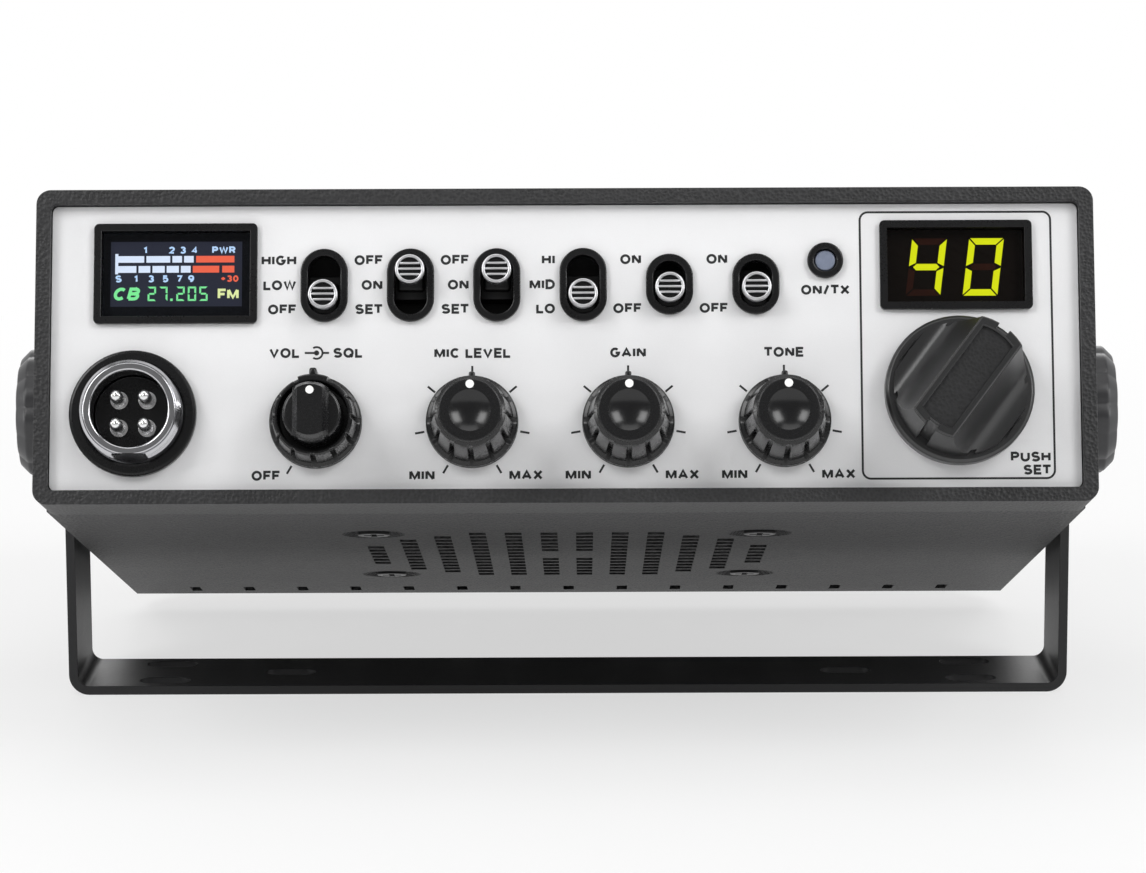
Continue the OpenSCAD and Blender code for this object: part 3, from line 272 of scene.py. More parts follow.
FINISH = {
    "mounting_bracket": (BRACKET_PAINT, 0.35),
    "front_frame": (FRAME_PLASTIC, 0.7),
    "face_plate": (PLATE_PAINT, 0.15),
    "chassis": (CHASSIS_STEEL, 0.2),
    "top_cover": (COVER_PAINT, 0.3),
    "bottom_cover": (COVER_PAINT, 0.3),
    "rear_heat_sink": (HEAT_SINK, 0.25),
    "front_circuit_board": (BOARD, 0.1),
    "main_circuit_board": (BOARD, 0.1),
    "meter_bezel": (BLACK_PLASTIC, 0.35),
    "meter_window": (METER_GLASS, 0),
    "meter_display": (SCREEN_DARK, 0.1),
    "channel_bezel": (BLACK_PLASTIC, 0.35),
    "channel_window": (CHANNEL_GLASS, 0),
    "channel_display": (LED_DARK, 0.1),
    "status_light_ring": (BLACK_PLASTIC, 0.4),
    "status_light": (LENS, 0.3),
    "mic_socket_ring": (BLACK_PLASTIC, 0.5),
    "mic_socket_insulator": (BLACK_PLASTIC, 0.15),
    "mic_socket_pins": (PIN_METAL, 0.1),
    "switch_bezels": (BLACK_PLASTIC, 0.35),
    "switch_bodies": (COMPONENT_BLACK, 0.15),
    "potentiometers": (CONTROL_METAL, 0.2),
    "channel_encoder": (CONTROL_METAL, 0.2),
    "encoder_rotor": (BRASS, 0.15),
    "speaker_frame": (SPEAKER_STEEL, 0.2),
    "speaker_cone": (SPEAKER_PAPER, 0),
    "speaker_magnet": (FERRITE, 0.5),
    "speaker_screws": (SCREW_BLACK, 0.25),
    "antenna_socket": (SOCKET_METAL, 0.25),
    "power_inlet": (NYLON, 0.3),
    "speaker_jacks": (BLACK_PLASTIC, 0.3),
    "case_screws": (SCREW_BLACK, 0.3),
    "board_screws": (SCREW_ZINC, 0.2),
    "power_transistors": (COMPONENT_BLACK, 0.2),
    "capacitors": (COMPONENT_BLUE, 0.4),
    "rubber_washers": (RUBBER, 0.3),
    "left_clamp_washer": (WASHER_STEEL, 0.15),
    "right_clamp_washer": (WASHER_STEEL, 0.15),
}
for knob in ("volume", "squelch", "mic_gain", "rf_gain", "tone", "channel"):
    FINISH[knob + "_shaft"] = (SHAFT_METAL, 0.1)


def dress(name, material, edge):
    """Gives a carried-over solid its material, clean flat faces and rounded edges."""
    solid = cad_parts[name]
    solid.data.materials.clear()
    solid.data.materials.append(material)
    weld = solid.modifiers.new("weld", "WELD")
    weld.merge_threshold = WELD_WITHIN * MM
    if edge:
        flat = solid.modifiers.new("flat", "DECIMATE")
        flat.decimate_type = "DISSOLVE"
        flat.angle_limit = math.radians(FLAT_WITHIN)
        bevel = solid.modifiers.new("edge", "BEVEL")
        bevel.width = edge * MM
        bevel.segments = 3
        bevel.limit_method = "ANGLE"
        bevel.angle_limit = math.radians(EDGE_ANGLE)
    level = solid.modifiers.new("level", "WEIGHTED_NORMAL")
    level.keep_sharp = True


for node_name, (node_material, node_edge) in FINISH.items():
    dress(node_name, node_material, node_edge)


# Mesh tools

def fillet(points, steps=4):
    """Rounds the corners of a path whose points are (x, y, radius)."""
    path = []
    for i, (x, y, radius) in enumerate(points):
        here = Vector((x, y))
        if radius <= 0 or i in (0, len(points) - 1):
            path.append((x, y))
            continue
        back = Vector(points[i - 1][:2]) - here
        ahead = Vector(points[i + 1][:2]) - here
        half = back.angle(ahead) / 2
        cut = min(radius / math.tan(half), back.length / 2, ahead.length / 2)
        start = here + back.normalized() * cut
        end = here + ahead.normalized() * cut
        for k in range(steps + 1):
            t = k / steps
            spot = start * (1 - t) ** 2 + here * 2 * t * (1 - t) + end * t ** 2
            path.append((spot.x, spot.y))
    return path


def lathe(profile, steps, cut=None):
    """Turns (radius, height) points about z; cut may lessen the radius with the angle."""
    verts = []
    faces = []
    count = len(profile)
    for i in range(steps):
        angle = 2 * math.pi * i / steps
        for radius, height in profile:
            reach = cut(radius, height, angle) if cut else radius
            verts.append((reach * math.cos(angle), reach * math.sin(angle), height))
    for i in range(steps):
        j = (i + 1) % steps
        for k in range(count - 1):
            faces.append((i * count + k, j * count + k, j * count + k + 1, i * count + k + 1))
    return verts, faces


def rounded_box(size, edge):
    """Box about the origin with rounded edges."""
    shape = bmesh.new()
    bmesh.ops.create_cube(shape, size=1.0)
    bmesh.ops.scale(shape, vec=size, verts=shape.verts)
    bmesh.ops.bevel(shape, geom=shape.edges[:], offset=edge, segments=3, affect="EDGES",
                    profile=0.5)
    shape.verts.index_update()
    verts = [tuple(v.co) for v in shape.verts]
    faces = [tuple(v.index for v in f.verts) for f in shape.faces]
    shape.free()
    return verts, faces


def moved(shape, offset):
    """The same shape at another place."""
    verts, faces = shape
    return [tuple(Vector(v) + Vector(offset)) for v in verts], faces


def joined(*shapes):
    """One list of points and faces from several."""
    verts = []
    faces = []
    for more_verts, more_faces in shapes:
        start = len(verts)
        verts.extend(more_verts)
        faces.extend(tuple(start + i for i in face) for face in more_faces)
    return verts, faces


def plates(outlines, height):
    """Flat faces at one height from closed outlines."""
    verts = []
    faces = []
    for outline in outlines:
        start = len(verts)
        verts.extend((x, y, height) for x, y in outline)
        faces.append(tuple(range(start, start + len(outline))))
    return verts, faces


def piece(name, shape, material, body, matrix, replaces=(), sharp=35):
    """Adds a mesh to the scene, riding on a body of the part."""
    verts, faces = shape
    mesh = bpy.data.meshes.new(name)
    mesh.from_pydata([Vector(v) * MM for v in verts], [], faces)
    work = bmesh.new()
    work.from_mesh(mesh)
    bmesh.ops.remove_doubles(work, verts=work.verts, dist=MERGE_WITHIN * MM)
    bmesh.ops.dissolve_degenerate(work, edges=work.edges, dist=MERGE_WITHIN * MM)
    if len(work.faces) > 1:
        bmesh.ops.recalc_face_normals(work, faces=work.faces)
    work.to_mesh(mesh)
    work.free()
    mesh.polygons.foreach_set("use_smooth", [True] * len(mesh.polygons))
    mesh.set_sharp_from_angle(angle=math.radians(sharp))
    mesh.materials.append(material)
    made = bpy.data.objects.new(name, mesh)
    scene.collection.objects.link(made)
    made.matrix_world = matrix
    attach(made, body)
    if replaces:
        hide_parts(*replaces)


def dot(radius, x, y, z, steps=32):
    """Flat round spot."""
    angles = [2 * math.pi * i / steps for i in range(steps)]
    return plates([[(x + radius * math.cos(a), y + radius * math.sin(a)) for a in angles]], z)


def spread(low, high, steps):
    """Even steps from one value to another."""
    return [low + (high - low) * k / steps for k in range(steps + 1)]


def ridge(columns, levels):
    """Body that is even along y: levels(x) gives (half length, height) from its top down."""
    rows = [levels(x) for x in columns]
    count = len(rows[0])
    verts = []
    for x, row in zip(columns, rows):
        verts.extend((x, y, z) for y, z in row)
        verts.extend((x, -y, z) for y, z in row)
    faces = []
    step = 2 * count
    for i in range(len(columns) - 1):
        a = i * step
        b = a + step
        faces.append((a, b, b + count, a + count))
        for k in range(count - 1):
            faces.append((a + k, a + k + 1, b + k + 1, b + k))
            faces.append((a + count + k, b + count + k, b + count + k + 1, a + count + k + 1))
    for start in (0, (len(columns) - 1) * step):
        near = tuple(start + k for k in range(count))
        faces.append(near + tuple(k + count for k in reversed(near)))
    return verts, faces


def on_circle(radius, x):
    """Half the length of a circle's chord at x."""
    return math.sqrt(max(0.0, radius ** 2 - x ** 2))


# Small knobs

GROOVES = [270, 300, 240, 330, 210, 0, 180, 30, 150, 65, 115]
GROOVE_HALF = 0.44
GROOVE_EDGE = 0.15
BODY_FOOT = 3.15
FLUTE_FOOT = 3.12
GAIN_SHOULDER = 13.9
GAIN_TOP = 15.0
GAIN_FLUTE_TOP = 14.25
RING_SHOULDER = 9.0
RING_TOP = 9.4
RING_FLUTE_TOP = 9.5
SKIRT = [(0, 0.8, 0), (7.4, 0.8, 0.25), (7.4, 1.75, 0.2), (7.15, 1.95, 0.08), (7.35, 2.15, 0.1),
         (7.35, 2.9, 0.35)]
GAIN_PROFILE = SKIRT + [(6.6, BODY_FOOT, 0.1), (5.6, GAIN_SHOULDER, 0.2), (5.05, 14.3, 0.08),
                        (5.0, GAIN_TOP, 0.3), (3.45, GAIN_TOP, 0.15)]
RING_PROFILE = SKIRT + [(6.75, BODY_FOOT, 0.1), (6.35, RING_SHOULDER, 0.25), (6.1, RING_TOP, 0.12),
                        (5.6, RING_TOP, 0.2), (5.5, 5.0, 0.1), (0, 5.0, 0)]
GAIN_FLOOR = 5.5
RING_FLOOR = 5.95
DIMPLE_R = 3.3
DIMPLE_DEPTH = 0.9
KNOB_STEPS = 480
FOOT_SLACK = 0.3
SHOULDER_SLACK = 0.6
LOBE_HALF = 24
RING_LOBE = 0.4
GAIN_DOT_R = 0.66
GAIN_DOT_Y = 4.15


def fluting(low, high, floor, lobe=0.0):
    """Cut of the narrow straight grooves down to one radius, with a wide raised lobe at the top."""
    def cut(radius, height, angle):
        if not low < height < high or radius < floor:
            return radius
        turn = math.degrees(angle)
        near = min(abs((turn - g + 180) % 360 - 180) for g in GROOVES)
        away = math.radians(near) * radius
        share = min(1.0, max(0.0, (GROOVE_HALF - away) / GROOVE_EDGE))
        full = radius + (lobe if abs(turn - 90) < LOBE_HALF else 0.0)
        return full - share * (full - floor)
    return cut


def dimple():
    """Round hollow in a knob's top, from its edge to the middle."""
    ball = (DIMPLE_R ** 2 + DIMPLE_DEPTH ** 2) / (2 * DIMPLE_DEPTH)
    radii = [DIMPLE_R * (1 - k / 12) for k in range(13)]
    return [(r, GAIN_TOP - DIMPLE_DEPTH + ball - math.sqrt(ball ** 2 - r ** 2)) for r in radii]


def body_rows(profile, low, high, rows):
    """Adds rows along the straight body so that the grooves keep their depth."""
    result = []
    for (r0, z0), (r1, z1) in zip(profile, profile[1:]):
        result.append((r0, z0))
        if z0 <= low + FOOT_SLACK and z1 >= high - SHOULDER_SLACK:
            result.extend((r0 + (r1 - r0) * k / rows, z0 + (z1 - z0) * k / rows)
                          for k in range(1, rows))
    result.append(profile[-1])
    return result


for index, knob in ((1, "mic_gain"), (2, "rf_gain"), (3, "tone")):
    profile = body_rows(fillet(GAIN_PROFILE), BODY_FOOT, GAIN_SHOULDER, 6) + dimple()[:1]
    turned = lathe(profile, KNOB_STEPS, fluting(FLUTE_FOOT, GAIN_FLUTE_TOP, GAIN_FLOOR))
    nub = moved(rounded_box((1.0, 1.4, 2.0), 0.3), (0, 7.3, 1.9))
    knob_place = on_face(KNOB_X[index], KNOB_Y)
    piece(knob + "_fluted_knob", joined(turned, nub), KNOB_PLASTIC, knob, knob_place,
          replaces=[knob + "_knob"], sharp=40)
    piece(knob + "_dimple", lathe(dimple(), 96), KNOB_GLOSS, knob, knob_place)
    piece(knob + "_dot", dot(GAIN_DOT_R, 0, GAIN_DOT_Y, GAIN_TOP + PRINT_LIFT), WHITE_INK, knob,
          knob_place)

volume_place = on_face(KNOB_X[0], KNOB_Y)
ring_profile = body_rows(fillet(RING_PROFILE), BODY_FOOT, RING_SHOULDER, 4)
ring = lathe(ring_profile, KNOB_STEPS, fluting(FLUTE_FOOT, RING_FLUTE_TOP, RING_FLOOR, RING_LOBE))
ring_nub = moved(rounded_box((1.2, 1.4, 5.6), 0.4), (0, 7.1, 6.2))
piece("squelch_fluted_ring", joined(ring, ring_nub), KNOB_PLASTIC, "squelch",
      volume_place, replaces=["squelch_knob"], sharp=40)


# Volume knob: round foot with a grip bar across it

VOLUME_R = 4.6
VOLUME_FOOT = 5.2
VOLUME_TOP = 16.5
VOLUME_SHOULDER = 12.0
BAR_FOOT = 5.3
BAR_TOP_R = 4.0
BAR_HALF = 2.8
BAR_FLAT = 1.95
BAR_SHOULDER = 15.0
VOLUME_DOT_R = 0.64
VOLUME_DOT_Y = 3.1


def volume_bar(x):
    """Levels of the bar at one place across it."""
    slope = max(0.0, abs(x) - BAR_FLAT) / (BAR_HALF - BAR_FLAT)
    top = VOLUME_TOP - slope * (VOLUME_TOP - BAR_SHOULDER)
    side = on_circle(VOLUME_R, x)
    return [(on_circle(BAR_TOP_R, x), top), (side, BAR_SHOULDER - 0.01), (side, BAR_FOOT)]


volume_disc = lathe(fillet([(0, VOLUME_FOOT, 0), (VOLUME_R, VOLUME_FOOT, 0.1),
                            (VOLUME_R, VOLUME_SHOULDER, 0.5), (0, VOLUME_SHOULDER, 0)]), 96)
bar_columns = sorted(spread(-BAR_HALF, BAR_HALF, 24) + [-BAR_FLAT, BAR_FLAT])
piece("volume_bar_knob", joined(volume_disc, ridge(bar_columns, volume_bar)), KNOB_PLASTIC, "volume",
      volume_place, replaces=["volume_knob"], sharp=25)
piece("volume_dot", dot(VOLUME_DOT_R, 0, VOLUME_DOT_Y, VOLUME_TOP + PRINT_LIFT), WHITE_INK, "volume",
      volume_place)


# Channel knob: flat skirt, two scoops beside a grip bar, and a sunk panel in the bar

CHANNEL_TURN = -37.0
CHANNEL_TOP = 18.0
CHANNEL_FOOT = 5.0
CHANNEL_R = 11.9
GRIP_R = 10.7
GRIP_TAPER = 0.066
GRIP_HALF = 3.8
RIM = 1.0
RIM_CHAMFER = 0.2
PANEL_DEPTH = 0.7
PANEL_R = GRIP_R - 0.86 - 1.4 * RIM
SKIRT_FOOT = 1.5
HAIR = 0.01
SCOOP_BEND = 4.0
SCOOP_FLOOR = 5.6
NOTCH_HALF = 1.0
NOTCH_DEPTH = 0.9
BITES = [15 + 30 * k for k in range(12)]
BITE_HALF = 2.8
BITE_DEPTH = 0.5


def grip_edge(x, z):
    """Half length of the grip at one place across it and one height."""
    radius = GRIP_R - GRIP_TAPER * (z - CHANNEL_FOOT)
    turn = math.degrees(math.acos(max(-1.0, min(1.0, x / radius))))
    if abs(x) > GRIP_HALF and any(abs(turn - b) < BITE_HALF for b in BITES):
        radius -= BITE_DEPTH
    reach = on_circle(radius, x)
    return reach - NOTCH_DEPTH if abs(x) < NOTCH_HALF else reach


def grip_levels(x):
    """Levels of the bar or of the scoops beside it at one place across the knob."""
    top = CHANNEL_TOP - PANEL_DEPTH
    if abs(x) > GRIP_HALF:
        share = (abs(x) - GRIP_HALF) / (GRIP_R - GRIP_HALF)
        top = min(top, SCOOP_FLOOR + (CHANNEL_TOP - SCOOP_FLOOR) * (1 - share) ** SCOOP_BEND)
    return [(grip_edge(x, top), top), (grip_edge(x, CHANNEL_FOOT), CHANNEL_FOOT)]


def loop(half, edge, inset=0.0):
    """Closed outline of the bar or of its panel, from its half width and its ends."""
    half -= inset
    notch = [s * (NOTCH_HALF + t) for s in (-1, 1) for t in (-HAIR, HAIR)]
    across = sorted(spread(-half, half, 24) + notch)
    return [(x, edge(x) - inset) for x in across] + [(x, inset - edge(x)) for x in reversed(across)]


def band(loops):
    """Closed skin through outlines of equal length, each with its height, and back to the first."""
    count = len(loops[0][0])
    verts = [(x, y, z) for outline, z in loops for x, y in outline]
    faces = []
    for k in range(len(loops)):
        a = k * count
        b = (k + 1) % len(loops) * count
        for i in range(count):
            j = (i + 1) % count
            faces.append((a + i, a + j, b + j, b + i))
    return verts, faces


def bar_end(x):
    """Half length of the bar's top at one place across it."""
    return grip_edge(x, CHANNEL_TOP)


def panel_end(x):
    """Half length of the sunk panel at one place across it."""
    return on_circle(PANEL_R, x)


def grip_rim():
    """Raised rim round the sunk panel, with small chamfers."""
    low = CHANNEL_TOP - PANEL_DEPTH - 0.05
    edge = CHANNEL_TOP - RIM_CHAMFER
    panel_half = GRIP_HALF - RIM
    outside = loop(GRIP_HALF, bar_end)
    outside_top = loop(GRIP_HALF, bar_end, RIM_CHAMFER)
    inside_top = loop(panel_half, panel_end, -RIM_CHAMFER)
    inside = loop(panel_half, panel_end)
    return band([(outside, low), (outside, edge), (outside_top, CHANNEL_TOP), (inside_top, CHANNEL_TOP),
                 (inside, edge), (inside, low)])


grip_steps = (GRIP_HALF, GRIP_HALF + HAIR, NOTCH_HALF - HAIR, NOTCH_HALF + HAIR)
grip_columns = sorted(set(spread(-GRIP_R + 0.1, GRIP_R - 0.1, 190)) | {
    s * v for s in (-1, 1) for v in grip_steps})
channel_skirt = lathe(fillet([(0, SKIRT_FOOT, 0), (CHANNEL_R, SKIRT_FOOT, 0.3), (CHANNEL_R, 4.4, 0.5),
                              (CHANNEL_R - 0.5, CHANNEL_FOOT, 0.3), (0, CHANNEL_FOOT, 0)]), 160)
channel_place = on_face(CHANNEL_X, CHANNEL_KNOB_Y, 0, CHANNEL_TURN)
piece("channel_grip", joined(channel_skirt, ridge(grip_columns, grip_levels)), GRIP_PLASTIC, "channel",
      channel_place, replaces=["channel_knob"], sharp=30)
piece("channel_grip_rim", grip_rim(), GRIP_PLASTIC, "channel", channel_place, sharp=30)
panel = loop(GRIP_HALF - RIM, panel_end, -0.05)
piece("channel_grip_panel", plates([panel], CHANNEL_TOP - PANEL_DEPTH + 0.03), PANEL_PLASTIC, "channel",
      channel_place)


# Thumbscrews with shallow lobes and a domed face

THUMB_SEAT = 89.45
THUMB_LOBES = 12
LOBE_DEPTH = 0.5
LOBES_FROM_R = 8.5
LOBES_FROM = 0.9
THUMB_PROFILE = [(0, -9.4, 0), (2.5, -9.4, 0.3), (2.5, 0, 0), (7.0, 0, 0.2), (7.0, 1.0, 0.1),
                 (11.0, 1.0, 0.3), (11.5, 2.0, 0.3), (11.4, 5.8, 0.8), (9.6, 7.6, 1.0), (0, 8.5, 0)]


def lobes(radius, height, angle):
    """Cut of the hollows between the lobes round the head."""
    if radius < LOBES_FROM_R or height < LOBES_FROM:
        return radius
    return radius - LOBE_DEPTH * (1 - abs(math.cos(THUMB_LOBES * angle / 2)))


for hand, sign in HANDS:
    seat = Matrix.Translation((sign * THUMB_SEAT * MM, 0, PIVOT_HEIGHT * MM))
    outward = Matrix.Rotation(sign * math.pi / 2, 4, "Y")
    piece(hand + "_lobed_thumbscrew", lathe(fillet(THUMB_PROFILE), 240, lobes), THUMB_PLASTIC_PAINTED_SHEEN,
          hand + "_thumb", seat @ outward, replaces=[hand + "_thumbscrew"], sharp=30)


# Slide switches: metal lever with a grooved cap, dark insert, and the dark shield that moves with it

CAP_R = 2.35
CAP_TOP = 4.6
CAP_FLOOR = 4.0
HOLLOW_R = 1.84
INSERT_R = 1.86
LEVER_PROFILE = [(0, -2.0, 0), (1.75, -2.0, 0.1), (1.8, 0.4, 0.3), (2.05, 2.6, 0.3), (CAP_R, 3.0, 0.3),
                 (CAP_R, CAP_TOP, 0.25), (HOLLOW_R, CAP_TOP, 0.25), (HOLLOW_R, CAP_FLOOR, 0.05),
                 (0, CAP_FLOOR, 0)]
INSERT_PROFILE = [(0, 3.98), (INSERT_R, 3.98), (INSERT_R, 4.06), (0, 4.06)]
RIDGE_Y = (-0.9, 0.0, 0.9)
RIDGE_Z = 4.22
RIDGE_W = 0.36
RIDGE_H = 0.6


def cap_ridge(y):
    """Ridge across the hollow of a lever's cap."""
    span = 2 * math.sqrt(INSERT_R ** 2 - y ** 2)
    return moved(rounded_box((span, RIDGE_W, RIDGE_H), 0.15), (0, y, RIDGE_Z))


for i in range(6):
    side = 0.5 if LEVER_UP[i] else -0.5
    lever_place = on_face(SWITCH_X[i], SWITCH_Y + side * SWITCH_TRAVEL[i])
    body = "switch_%d" % (i + 1)
    ridges = [cap_ridge(y) for y in RIDGE_Y]
    piece(body + "_cap", joined(lathe(fillet(LEVER_PROFILE), 64), *ridges), LEVER_METAL, body,
          lever_place, replaces=[body + "_lever"])
    low_step = moved(rounded_box((5.6, 8.0, 4.2), 0.3), (0, 0, -4.3))
    high_step = moved(rounded_box((4.4, 5.4, 2.0), 0.5), (0, 0, -1.9))
    insert = lathe(INSERT_PROFILE, 48)
    piece(body + "_slider", joined(low_step, high_step, insert), SOOT_PLASTIC, body,
          lever_place)


# Microphone socket shell with its thread and key slot

THREAD_FROM = 2.5
THREAD_TO = 6.5
THREAD_PITCH = 1.0
SHELL_R = 8.0
BORE_R = 6.3
BORE_FOOT = -4.5
KEY_HALF = 2.7
KEY_FLAT = 7.15


def thread_profile():
    """Outline of the shell from its bore round its flange, thread and rim."""
    points = [(BORE_R, BORE_FOOT), (10.2, BORE_FOOT), (10.2, -1.5), (7.7, -1.5), (7.7, THREAD_FROM)]
    root = SHELL_R - 0.45
    crest = SHELL_R - 0.05
    z = THREAD_FROM
    while z < THREAD_TO - 0.01:
        points += [(root, z + 0.05), (crest, z + 0.42), (crest, z + 0.55), (root, z + 0.95)]
        z += THREAD_PITCH
    rim = fillet([(7.4, THREAD_TO - 0.1, 0), (7.4, 7.0, 0.5), (6.15, 7.0, 0.5), (6.15, 6.1, 0)], 6)
    return points + rim + [(BORE_R, 6.0), (BORE_R, BORE_FOOT)]


def key_cut(radius, height, angle):
    """Flat-bottomed slot along the thread at its lowest side."""
    if height < THREAD_FROM - 0.01 or radius < 7.0 or math.sin(angle) > 0:
        return radius
    if abs(radius * math.cos(angle)) > KEY_HALF:
        return radius
    return min(radius, KEY_FLAT / -math.sin(angle))


piece("mic_socket_threaded_shell", lathe(thread_profile(), 192, key_cut), SOCKET_METAL, "radio",
      on_face(MIC_X, MIC_Y), replaces=["mic_socket_shell"], sharp=30)


# Lettering and lines printed on the plate

STROKE = 0.25
LETTER_GAP = 0.13
WORD_GAP = 0.42
LETTER_WIDTH = 0.92
MITRE_LIMIT = 1.5
LEGEND_H = 1.62


def bow(x, y, rx, ry, start, end, steps=14):
    """Points along an arc, from one angle to another in degrees."""
    angles = [math.radians(start + (end - start) * k / steps) for k in range(steps + 1)]
    return [(x + rx * math.cos(a), y + ry * math.sin(a)) for a in angles]


# Width and strokes of each character, with capitals one unit high
GLYPHS = {
    "A": (0.82, [[(0, 0), (0.41, 1), (0.82, 0)], [(0.14, 0.3), (0.68, 0.3)]]),
    "B": (0.7, [[(0, 0), (0, 1), (0.4, 1)] + bow(0.4, 0.76, 0.26, 0.24, 90, -90) + [(0, 0.52)],
                [(0, 0.52), (0.42, 0.52)] + bow(0.42, 0.26, 0.28, 0.26, 90, -90) + [(0, 0)]]),
    "C": (0.76, [bow(0.4, 0.5, 0.4, 0.5, 48, 312)]),
    "D": (0.74, [[(0, 0), (0, 1), (0.3, 1)] + bow(0.3, 0.5, 0.44, 0.5, 90, -90) + [(0, 0)]]),
    "E": (0.56, [[(0.68, 1), (0, 1), (0, 0), (0.68, 0)], [(0, 0.52), (0.6, 0.52)]]),
    "F": (0.54, [[(0.66, 1), (0, 1), (0, 0)], [(0, 0.5), (0.56, 0.5)]]),
    "G": (0.8, [bow(0.4, 0.5, 0.4, 0.5, 48, 345) + [(0.8, 0.46), (0.45, 0.46)]]),
    "H": (0.72, [[(0, 0), (0, 1)], [(0.72, 0), (0.72, 1)], [(0, 0.52), (0.72, 0.52)]]),
    "I": (0.0, [[(0, 0), (0, 1)]]),
    "L": (0.5, [[(0, 1), (0, 0), (0.62, 0)]]),
    "M": (0.9, [[(0, 0), (0, 1)], [(0.9, 0), (0.9, 1)], [(0.03, 1), (0.45, 0.08), (0.87, 1)]]),
    "N": (0.72, [[(0, 0), (0, 1)], [(0.72, 0), (0.72, 1)], [(0.03, 1), (0.69, 0)]]),
    "O": (0.84, [bow(0.42, 0.5, 0.42, 0.5, 0, 360, 28)]),
    "P": (0.64, [[(0, 0), (0, 1), (0.38, 1)] + bow(0.38, 0.74, 0.26, 0.26, 90, -90) + [(0, 0.48)]]),
    "Q": (0.84, [bow(0.42, 0.5, 0.42, 0.5, 0, 360, 28), [(0.52, 0.28), (0.86, -0.04)]]),
    "R": (0.68, [[(0, 0), (0, 1), (0.4, 1)] + bow(0.4, 0.74, 0.26, 0.26, 90, -90) + [(0, 0.48)],
                 [(0.38, 0.48), (0.68, 0)]]),
    "S": (0.68, [bow(0.34, 0.755, 0.31, 0.245, 25, 270) + bow(0.34, 0.255, 0.34, 0.255, 90, -155)[1:]]),
    "T": (0.6, [[(-0.12, 1), (0.72, 1)], [(0.3, 1), (0.3, 0)]]),
    "U": (0.72, [[(0, 1), (0, 0.36)] + bow(0.36, 0.36, 0.36, 0.36, 180, 360)[1:] + [(0.72, 1)]]),
    "V": (0.78, [[(0, 1), (0.39, 0), (0.78, 1)]]),
    "W": (1.1, [[(0, 1), (0.28, 0), (0.55, 1), (0.82, 0), (1.1, 1)]]),
    "X": (0.76, [[(0, 0), (0.76, 1)], [(0, 1), (0.76, 0)]]),
    "0": (0.62, [bow(0.31, 0.5, 0.31, 0.5, 0, 360, 28)]),
    "1": (0.28, [[(0, 0.78), (0.28, 1), (0.28, 0)]]),
    "2": (0.62, [bow(0.31, 0.7, 0.31, 0.3, 165, -35) + [(0, 0), (0.62, 0)]]),
    "3": (0.64, [bow(0.3, 0.76, 0.28, 0.24, 150, -90), bow(0.3, 0.26, 0.32, 0.26, 90, -150)]),
    "4": (0.66, [[(0.48, 0), (0.48, 1), (0, 0.28), (0.66, 0.28)]]),
    "5": (0.62, [[(0.56, 1), (0.1, 1), (0.04, 0.5)] + bow(0.3, 0.32, 0.32, 0.32, 120, -150)]),
    "7": (0.6, [[(0, 1), (0.6, 1), (0.2, 0)]]),
    "9": (0.64, [bow(0.32, 0.68, 0.32, 0.32, 0, 360, 24),
                 [(0.64, 0.68), (0.6, 0.36), (0.46, 0.1), (0.2, 0)]]),
    "+": (0.6, [[(0, 0.5), (0.6, 0.5)], [(0.3, 0.2), (0.3, 0.8)]]),
    "/": (0.4, [[(0, -0.08), (0.4, 1.08)]]),
}


def brush(path, width):
    """Flat band of even width along a path, with mitred bends."""
    points = [Vector(p) for p in path]
    closed = (points[0] - points[-1]).length < 1e-6
    verts = []
    for i, here in enumerate(points):
        if i:
            back = here - points[i - 1]
        else:
            back = here - points[-2] if closed else points[1] - here
        if i < len(points) - 1:
            ahead = points[i + 1] - here
        else:
            ahead = points[1] - here if closed else back
        back = back.normalized()
        ahead = ahead.normalized()
        side = Vector((-back.y - ahead.y, back.x + ahead.x)).normalized()
        stretch = min(MITRE_LIMIT, 1 / max(0.2, side.dot(Vector((-back.y, back.x)))))
        for s in (-1, 1):
            spot = here + side * s * width / 2 * stretch
            verts.append((spot.x, spot.y, 0.0))
    faces = [(2 * k, 2 * k + 1, 2 * k + 3, 2 * k + 2) for k in range(len(points) - 1)]
    return verts, faces


def lettering(text, height, stroke=STROKE, lean=0.0):
    """Flat letters of a capital height, lying about the origin, and half their width."""
    inner = 1 - stroke
    shapes = []
    pen = stroke / 2
    for char in text:
        if char == " ":
            pen += WORD_GAP
            continue
        width, strokes = GLYPHS[char]
        for path in strokes:
            drawn = [(pen + x * LETTER_WIDTH + lean * (y - 0.5), stroke / 2 + y * inner)
                     for x, y in path]
            shapes.append(brush(drawn, stroke))
        pen += width * LETTER_WIDTH + stroke + LETTER_GAP
    total = pen - LETTER_GAP - stroke / 2
    verts, faces = joined(*shapes)
    placed = [((x - total / 2) * height, (y - 0.5) * height, 0.0) for x, y, z in verts]
    return (placed, faces), total * height / 2


def label(text, x, y, align="centre"):
    """Printed word on the plate, with its middle or its right end at x."""
    shape, half = lettering(text, LEGEND_H)
    shift = -half if align == "right" else 0.0
    return moved(shape, (x + shift, y, PRINT_LIFT))


def printed_line(x0, y0, x1, y1, width):
    """Straight printed line."""
    along = Vector((x1 - x0, y1 - y0)).normalized()
    side = Vector((-along.y, along.x)) * width / 2
    corners = [(x0 + side.x, y0 + side.y), (x0 - side.x, y0 - side.y),
               (x1 - side.x, y1 - side.y), (x1 + side.x, y1 + side.y)]
    return plates([corners], PRINT_LIFT)


def arc_band(x, y, radius, width, start, end, steps=24):
    """Printed band along an arc, from one angle to another in degrees."""
    verts = []
    for k in range(steps + 1):
        a = math.radians(start + (end - start) * k / steps)
        for r in (radius - width / 2, radius + width / 2):
            verts.append((x + r * math.cos(a), y + r * math.sin(a), PRINT_LIFT))
    faces = [(2 * k, 2 * k + 1, 2 * k + 3, 2 * k + 2) for k in range(steps)]
    return verts, faces


